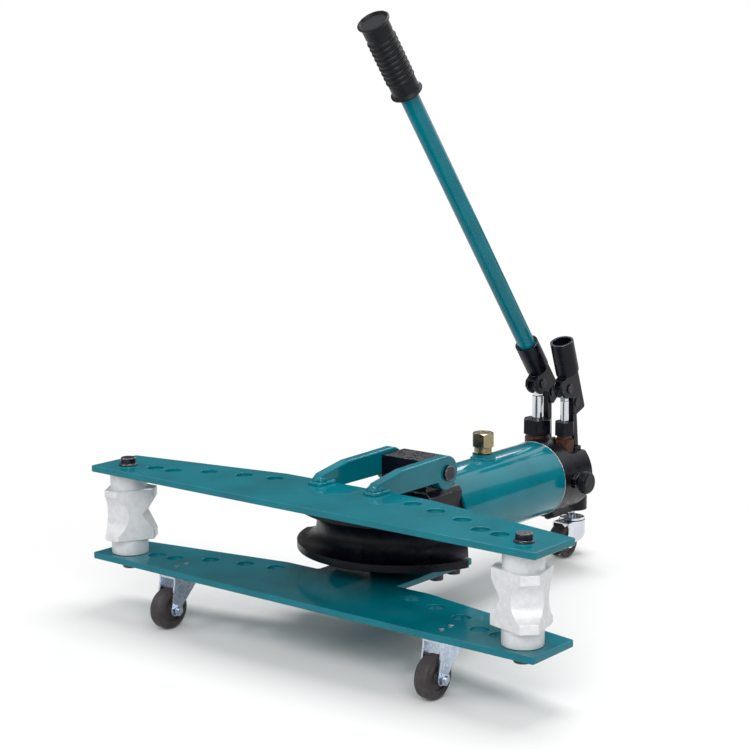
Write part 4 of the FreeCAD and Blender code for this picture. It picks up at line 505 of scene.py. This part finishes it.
# %% Run the weld beads
WING_TOP = 187
ARM_FACES = (35.5, 49.5)
FOOT_REAR, FOOT_TIP = -183.5, -208.2
BEAD_GAP = 0.6
FOOT_BEAD, TOE_BEAD, BOSS_BEAD = 4.0, 7.0, 2.4
BOSS_BACK, BOSS_ROUND, TUBE_UP, TUBE_ROUND = 81.75, 14.6, 126.5, 51
BOSS_STEPS = 72


def round_the_foot(side, half, tip, up):
    """Points round an arm's foot from face to face; half lists how far inside the face, and how far back."""
    inner, outer = ARM_FACES[0] - BEAD_GAP, ARM_FACES[1] + BEAD_GAP
    near = [(inner + inset, back) for inset, back in half]
    far = [(outer - inset, back) for inset, back in reversed(half)]
    outline = near + [((inner + outer) / 2, tip)] + far
    return [(side * across, back, up) for across, back in outline]


def round_the_boss():
    """Points where the upright boss meets the lying tube."""
    ring = []
    for step in range(BOSS_STEPS):
        angle = math.radians(step * 360 / BOSS_STEPS)
        across = BOSS_ROUND * math.cos(angle)
        back = BOSS_BACK + BOSS_ROUND * math.sin(angle)
        ring.append((across, back, TUBE_UP + math.sqrt(TUBE_ROUND ** 2 - across ** 2)))
    return ring


weld = {"Ripple": 1.7 * MM, "Ripple depth": 0.28, "Wander": 1.2 * MM}
toe_weld = {"Ripple": 4.0 * MM, "Ripple depth": 0.06, "Wander": 2.0 * MM}
foot_half = [(0, FOOT_REAR), (0, FOOT_TIP + 1), (1.6, FOOT_TIP - 0.8)]
toe_half = [(4.4, FOOT_TIP + 11), (4.8, FOOT_TIP + 6)]
for side, name in ((-1, "left"), (1, "right")):
    carrier = body_of["hinge_arm_" + name]
    points = round_the_foot(side, foot_half, FOOT_TIP - 1.4, WING_TOP + 0.4)
    grow("arm_weld_" + name, swept_bead, carrier, "teal_enamel", *chain(points),
         **{"Bead radius": FOOT_BEAD * MM}, **weld)
    points = round_the_foot(side, toe_half, FOOT_TIP + 4.2, WING_TOP + 3.4)
    grow("toe_weld_" + name, swept_bead, carrier, "teal_enamel", *chain(points),
         **{"Bead radius": TOE_BEAD * MM}, **toe_weld)
grow("boss_weld", swept_bead, body_of["filler_boss"], "teal_enamel", *chain(round_the_boss(), True),
     **{"Bead radius": BOSS_BEAD * MM}, **weld)

# %% [markdown]
# ## Turned and moulded rings
# A bright sealing ring shows between the outer cylinder and the pump body. The wheels keep fine
# moulded rings on their sides. The filler cap's neck has a cut thread, which is the same bead on a
# climbing path, and the release knob has short straight beads side by side for its knurl.

# %% Rings and threads
JOINT_BACK, JOINT_ROUND, JOINT_BEAD = 204.6, 51.1, 0.55
WHEEL_BEAD = 0.45
THREAD_UP, THREAD_ROUND, THREAD_BEAD, THREAD_PITCH, THREAD_TURNS = 185, 11.2, 0.42, 1.6, 4
KNOB_BACK, KNOB_ROUND, KNOB_SPAN, KNURL_BEAD, KNURLS = 227.75, 14.95, (66.2, 72.8), 0.5, 40


def wheel_rings(across, back, up, sides, rounds):
    """Rings on the sides of a wheel, as one list of points and one of lines."""
    points, lines = [], []
    for face in sides:
        for radius in rounds:
            more, joined = chain(round_path((across + face, back, up), radius, (1, 0, 0), 56), True)
            lines += [(first + len(points), second + len(points)) for first, second in joined]
            points += more
    return points, lines


def knurl_lines():
    """Short lines along the knob, side by side round it."""
    points, lines = [], []
    for step in range(KNURLS):
        angle = math.radians(step * 360 / KNURLS)
        back, up = KNOB_BACK + KNOB_ROUND * math.cos(angle), TUBE_UP + KNOB_ROUND * math.sin(angle)
        lines.append((len(points), len(points) + 1))
        points += [(reach, back, up) for reach in KNOB_SPAN]
    return points, lines


clean = {"Step": 1.0 * MM, "Sides": 8}
joint_path = round_path((0, JOINT_BACK, TUBE_UP), JOINT_ROUND, (0, 1, 0), 96)
grow("joint_ring", swept_bead, body_of["reservoir_tube"], "bright_steel", *chain(joint_path, True),
     **{"Bead radius": JOINT_BEAD * MM}, **clean)
for name, across, back, up, sides, rounds in (
    ("front_wheel_left", -203, -300.25, 25, (-9, 9), (17, 20.4)),
    ("front_wheel_right", 203, -300.25, 25, (-9, 9), (17, 20.4)),
    ("rear_wheel_left", 0, 280.75, 23, (-11.1,), (14.5, 18.5)),
    ("rear_wheel_right", 0, 280.75, 23, (11.1,), (14.5, 18.5)),
):
    grow(name + "_rings", swept_bead, body_of[name], slot_of[name],
         *wheel_rings(across, back, up, sides, rounds), **{"Bead radius": WHEEL_BEAD * MM}, **clean)
thread_path = round_path((0, BOSS_BACK, THREAD_UP), THREAD_ROUND, (0, 0, 1), 180,
                         turn=360 * THREAD_TURNS, rise=THREAD_PITCH * THREAD_TURNS)
grow("cap_thread", swept_bead, body_of["filler_cap"], slot_of["filler_cap"], *chain(thread_path),
     **{"Bead radius": THREAD_BEAD * MM}, **clean)
grow("knob_knurl", swept_bead, body_of["release_knob"], slot_of["release_knob"], *knurl_lines(),
     **{"Bead radius": KNURL_BEAD * MM}, **clean)

# %% [markdown]
# ## Spots and nibs
# The lever sockets are rolled from plate and closed with a row of small welds, and dust that fell
# on the wet enamel of the wings left nibs that glint. Both are flattened drops set on points, each
# a little different in size. The points come from a row or are scattered over the upward faces.

# %% Trees for spots
def drops_on(tree, given, points, normal):
    """Flattened drops of random size that stand on points, kept as one mesh with its finish."""
    drop = add(tree, "GeometryNodeMeshUVSphere", {
        "Segments": 10, "Rings": 6, "Radius": given["Drop radius"],
    }).outputs[0]
    drop = add(tree, "GeometryNodeTransform", {"Geometry": drop, "Scale": (1.0, 1.0, 0.45)}).outputs[0]
    turned = add(tree, "FunctionNodeAlignRotationToVector", {"Vector": normal}, axis="Z").outputs[0]
    size = add(tree, "FunctionNodeRandomValue", {
        "Min": 0.55, "Max": 1.1, "Seed": given["Seed"],
    }).outputs["Value"]
    drops = add(tree, "GeometryNodeInstanceOnPoints", {
        "Points": points, "Instance": drop, "Rotation": turned, "Scale": size,
    }).outputs[0]
    drops = add(tree, "GeometryNodeSetShadeSmooth", {"Geometry": drops}).outputs[0]
    drops = add(tree, "GeometryNodeRealizeInstances", {"Geometry": drops}).outputs[0]
    return add(tree, "GeometryNodeSetMaterial", {"Geometry": drops, "Material": given["Finish"]}).outputs[0]


def make_row_of_drops():
    """One drop on each point given, all facing the same way."""
    sizes = {"Drop radius": 0.001, "Out X": 0.0, "Out Y": 0.0, "Out Z": 1.0, "Seed": 3, "Finish": None}
    tree, given, result = new_tree("row_of_drops", **sizes)
    out = add(tree, "ShaderNodeCombineXYZ", {
        "X": given["Out X"], "Y": given["Out Y"], "Z": given["Out Z"],
    }).outputs[0]
    tree.links.new(drops_on(tree, given, given["Geometry"], out), result["Geometry"])
    return tree


def make_scattered_nibs():
    """Drops scattered over the faces that look up."""
    tree, given, result = new_tree("scattered_nibs", **{
        "Drop radius": 0.0006, "Per square metre": 300.0, "Seed": 5, "Finish": None,
    })
    normal = add(tree, "GeometryNodeInputNormal").outputs[0]
    height = add(tree, "ShaderNodeSeparateXYZ", {0: normal}).outputs["Z"]
    level = add(tree, "FunctionNodeCompare", {0: height, 1: 0.9}, operation="GREATER_THAN").outputs[0]
    scattered = add(tree, "GeometryNodeDistributePointsOnFaces", {
        "Mesh": given["Geometry"], "Selection": level, "Density": given["Per square metre"],
        "Seed": given["Seed"],
    })
    drops = drops_on(tree, given, scattered.outputs["Points"], scattered.outputs["Normal"])
    tree.links.new(drops, result["Geometry"])
    return tree


row_of_drops = make_row_of_drops()
scattered_nibs = make_scattered_nibs()
print("trees for spots ready")

# %% Weld spots down the sockets, nibs on the wings
SOCKET_BEHIND, SOCKET_ROUND = 2.8, 16.2
SEAM_FROM, SEAM_STEP, SEAM_SPOTS = 50, 3.4, 12
SEAM_SIDE = (-0.45, -0.893, 0)
SPOT_ROUND, NIB_ROUND = 1.25, 0.55
for name, across, back, up, lean in (
    ("left", -22, 269.55, 236.97, 38.4), ("right", 22, 263.78, 227.74, 20.2),
):
    stand = Matrix.Translation((across, back, up)) @ Matrix.Rotation(math.radians(lean), 4, "X")
    out = Vector(SEAM_SIDE)
    row = [stand @ Vector((SOCKET_ROUND * out.x, SOCKET_BEHIND + SOCKET_ROUND * out.y, height))
           for height in [SEAM_FROM + step * SEAM_STEP for step in range(SEAM_SPOTS)]]
    facing = stand.to_3x3() @ out
    grow("socket_seam_" + name, row_of_drops, body_of["lever_socket_" + name], "black_enamel", row, [],
         **{"Drop radius": SPOT_ROUND * MM, "Out X": facing.x, "Out Y": facing.y, "Out Z": facing.z})
for name in ("upper_wing", "lower_wing"):
    plate = bpy.data.objects.new(name + "_nibs", nodes[name].data.copy())
    grow_on(plate, scattered_nibs, body_of[name], "teal_enamel",
            **{"Drop radius": NIB_ROUND * MM, "Seed": len(name)})

# %% [markdown]
# ## The studio
# The photograph was taken in a white studio. Here five soft boxes stand or hang round the tool in
# a pale room, and a white floor keeps its shadow. Seen by the eye, the floor fades to plain white
# away from the tool, so the horizon doesn't show.

# %% Floor
FLOOR_REACH, FLOOR_DROP = 30.0, 0.0005
PAPER_WHITE = 0.75
FADE_FROM, FADE_TO = 0.34, 0.78


def brighter(tree, first, second):
    """The larger of two factors."""
    return add(tree, "ShaderNodeMath", {0: first, 1: second}, operation="MAXIMUM").outputs[0]


def make_floor():
    """White paper under the tool; rays that see it or mirror it find pure light further out."""
    mesh = bpy.data.meshes.new("studio_floor")
    turns = ((-1, -1), (1, -1), (1, 1), (-1, 1))
    corners = [(across * FLOOR_REACH, back * FLOOR_REACH, -FLOOR_DROP) for across, back in turns]
    mesh.from_pydata(corners, [], [(0, 1, 2, 3)])
    floor = bpy.data.objects.new("studio_floor", mesh)
    bpy.context.scene.collection.objects.link(floor)
    material = bpy.data.materials.new("white_paper")
    material.use_nodes = True
    tree = material.node_tree
    tree.nodes.clear()
    paper = add(tree, "ShaderNodeBsdfDiffuse", {"Color": (PAPER_WHITE, PAPER_WHITE, PAPER_WHITE, 1)})
    white = add(tree, "ShaderNodeEmission", {"Color": (1, 1, 1, 1), "Strength": 1.0})
    place = add(tree, "ShaderNodeTexCoord").outputs["Object"]
    distance = add(tree, "ShaderNodeVectorMath", {0: place}, operation="LENGTH").outputs["Value"]
    far = add(tree, "ShaderNodeMapRange", {
        "Value": distance, "From Min": FADE_FROM, "From Max": FADE_TO, "To Min": 0.0, "To Max": 1.0,
    }).outputs["Result"]
    sight = add(tree, "ShaderNodeLightPath")
    seen = brighter(tree, sight.outputs["Is Camera Ray"], sight.outputs["Is Glossy Ray"])
    seen = brighter(tree, seen, sight.outputs["Is Transmission Ray"])
    share = add(tree, "ShaderNodeMath", {0: far, 1: seen}, operation="MULTIPLY").outputs[0]
    both = add(tree, "ShaderNodeMixShader", {0: share, 1: paper.outputs[0], 2: white.outputs[0]})
    output = add(tree, "ShaderNodeOutputMaterial")
    tree.links.new(both.outputs[0], output.inputs["Surface"])
    mesh.materials.append(material)
    return floor


make_floor()
print("floor laid")

# %% Light from all round
def make_world(low, high):
    """White to the eye and through glass; mirrored rays and light see a grey that turns paler overhead."""
    world = bpy.data.worlds.new("studio_walls")
    bpy.context.scene.world = world
    world.use_nodes = True
    tree = world.node_tree
    tree.nodes.clear()
    direction = add(tree, "ShaderNodeTexCoord").outputs["Generated"]
    height = add(tree, "ShaderNodeSeparateXYZ", {0: direction}).outputs["Z"]
    level = add(tree, "ShaderNodeMapRange", {
        "Value": height, "From Min": 0.05, "From Max": 0.75, "To Min": low, "To Max": high,
    }).outputs["Result"]
    mirrored = add(tree, "ShaderNodeMapRange", {
        "Value": height, "From Min": 0.25, "From Max": 0.95, "To Min": low, "To Max": 1.0,
    }).outputs["Result"]
    light, glint, white = [
        add(tree, "ShaderNodeBackground", {"Color": (1, 1, 1, 1), "Strength": strength}).outputs[0]
        for strength in (level, mirrored, 1.0)
    ]
    sight = add(tree, "ShaderNodeLightPath").outputs
    seen = brighter(tree, sight["Is Camera Ray"], sight["Is Transmission Ray"])
    both = add(tree, "ShaderNodeMixShader", {0: sight["Is Glossy Ray"], 1: light, 2: glint}).outputs[0]
    both = add(tree, "ShaderNodeMixShader", {0: seen, 1: both, 2: white})
    output = add(tree, "ShaderNodeOutputWorld")
    tree.links.new(both.outputs[0], output.inputs["Surface"])


def soft_box(name, place, aim, width, height, watts):
    """A rectangular lamp that faces a point."""
    lamp = bpy.data.lights.new(name, "AREA")
    lamp.shape = "RECTANGLE"
    lamp.size = width
    lamp.size_y = height
    lamp.energy = watts
    holder = bpy.data.objects.new(name, lamp)
    bpy.context.scene.collection.objects.link(holder)
    holder.location = place
    holder.rotation_euler = (Vector(aim) - Vector(place)).to_track_quat("-Z", "Y").to_euler()
    return holder


make_world(low=0.1, high=0.38)
BOXES = (
    ("key_box", (1.65, -2.0, 1.85), (0, 0, 0.2), 2.4, 1.7, 64),
    ("fill_box", (-1.7, -1.9, 1.8), (0, 0, 0.2), 2.4, 1.7, 20),
    ("top_box", (0.0, 0.35, 2.1), (0, 0, 0.1), 1.0, 1.0, 30),
    ("back_box", (0.3, 2.6, 1.5), (0, 0, 0.2), 2.4, 1.8, 15),
    ("rim_box", (-1.35, 2.2, 1.62), (0, 0.1, 0.2), 0.8, 0.5, 7),
)
for box in BOXES:
    soft_box(*box)
print("lamps hung")

# %% [markdown]
# ## The camera
# Straight edges of the wings and the round rims of the tool fix where the photographer stood:
# a little over two metres away, in front of the right wing and above it, with a long lens.

# %% Stand the camera where the photographer stood
def make_camera(place, aim, lens):
    """A camera at a place in metres that looks along aim, with a lens in mm on a 36 mm sensor."""
    data = bpy.data.cameras.new("camera")
    data.sensor_width = 36
    data.lens = lens
    data.clip_start = 0.05
    camera = bpy.data.objects.new("camera", data)
    bpy.context.scene.collection.objects.link(camera)
    camera.location = place
    camera.rotation_euler = Vector(aim).to_track_quat("-Z", "Y").to_euler()
    bpy.context.scene.camera = camera
    return camera


CAMERA_PLACE = (1.310774, -1.795735, 0.675743)
CAMERA_LOOKS = (-0.61335, 0.77181, -0.16766)
CAMERA_LENS = 85.26
camera = make_camera(CAMERA_PLACE, CAMERA_LOOKS, CAMERA_LENS)
bpy.context.scene.view_settings.view_transform = "Standard"
print("camera at", [round(number, 3) for number in camera.location])
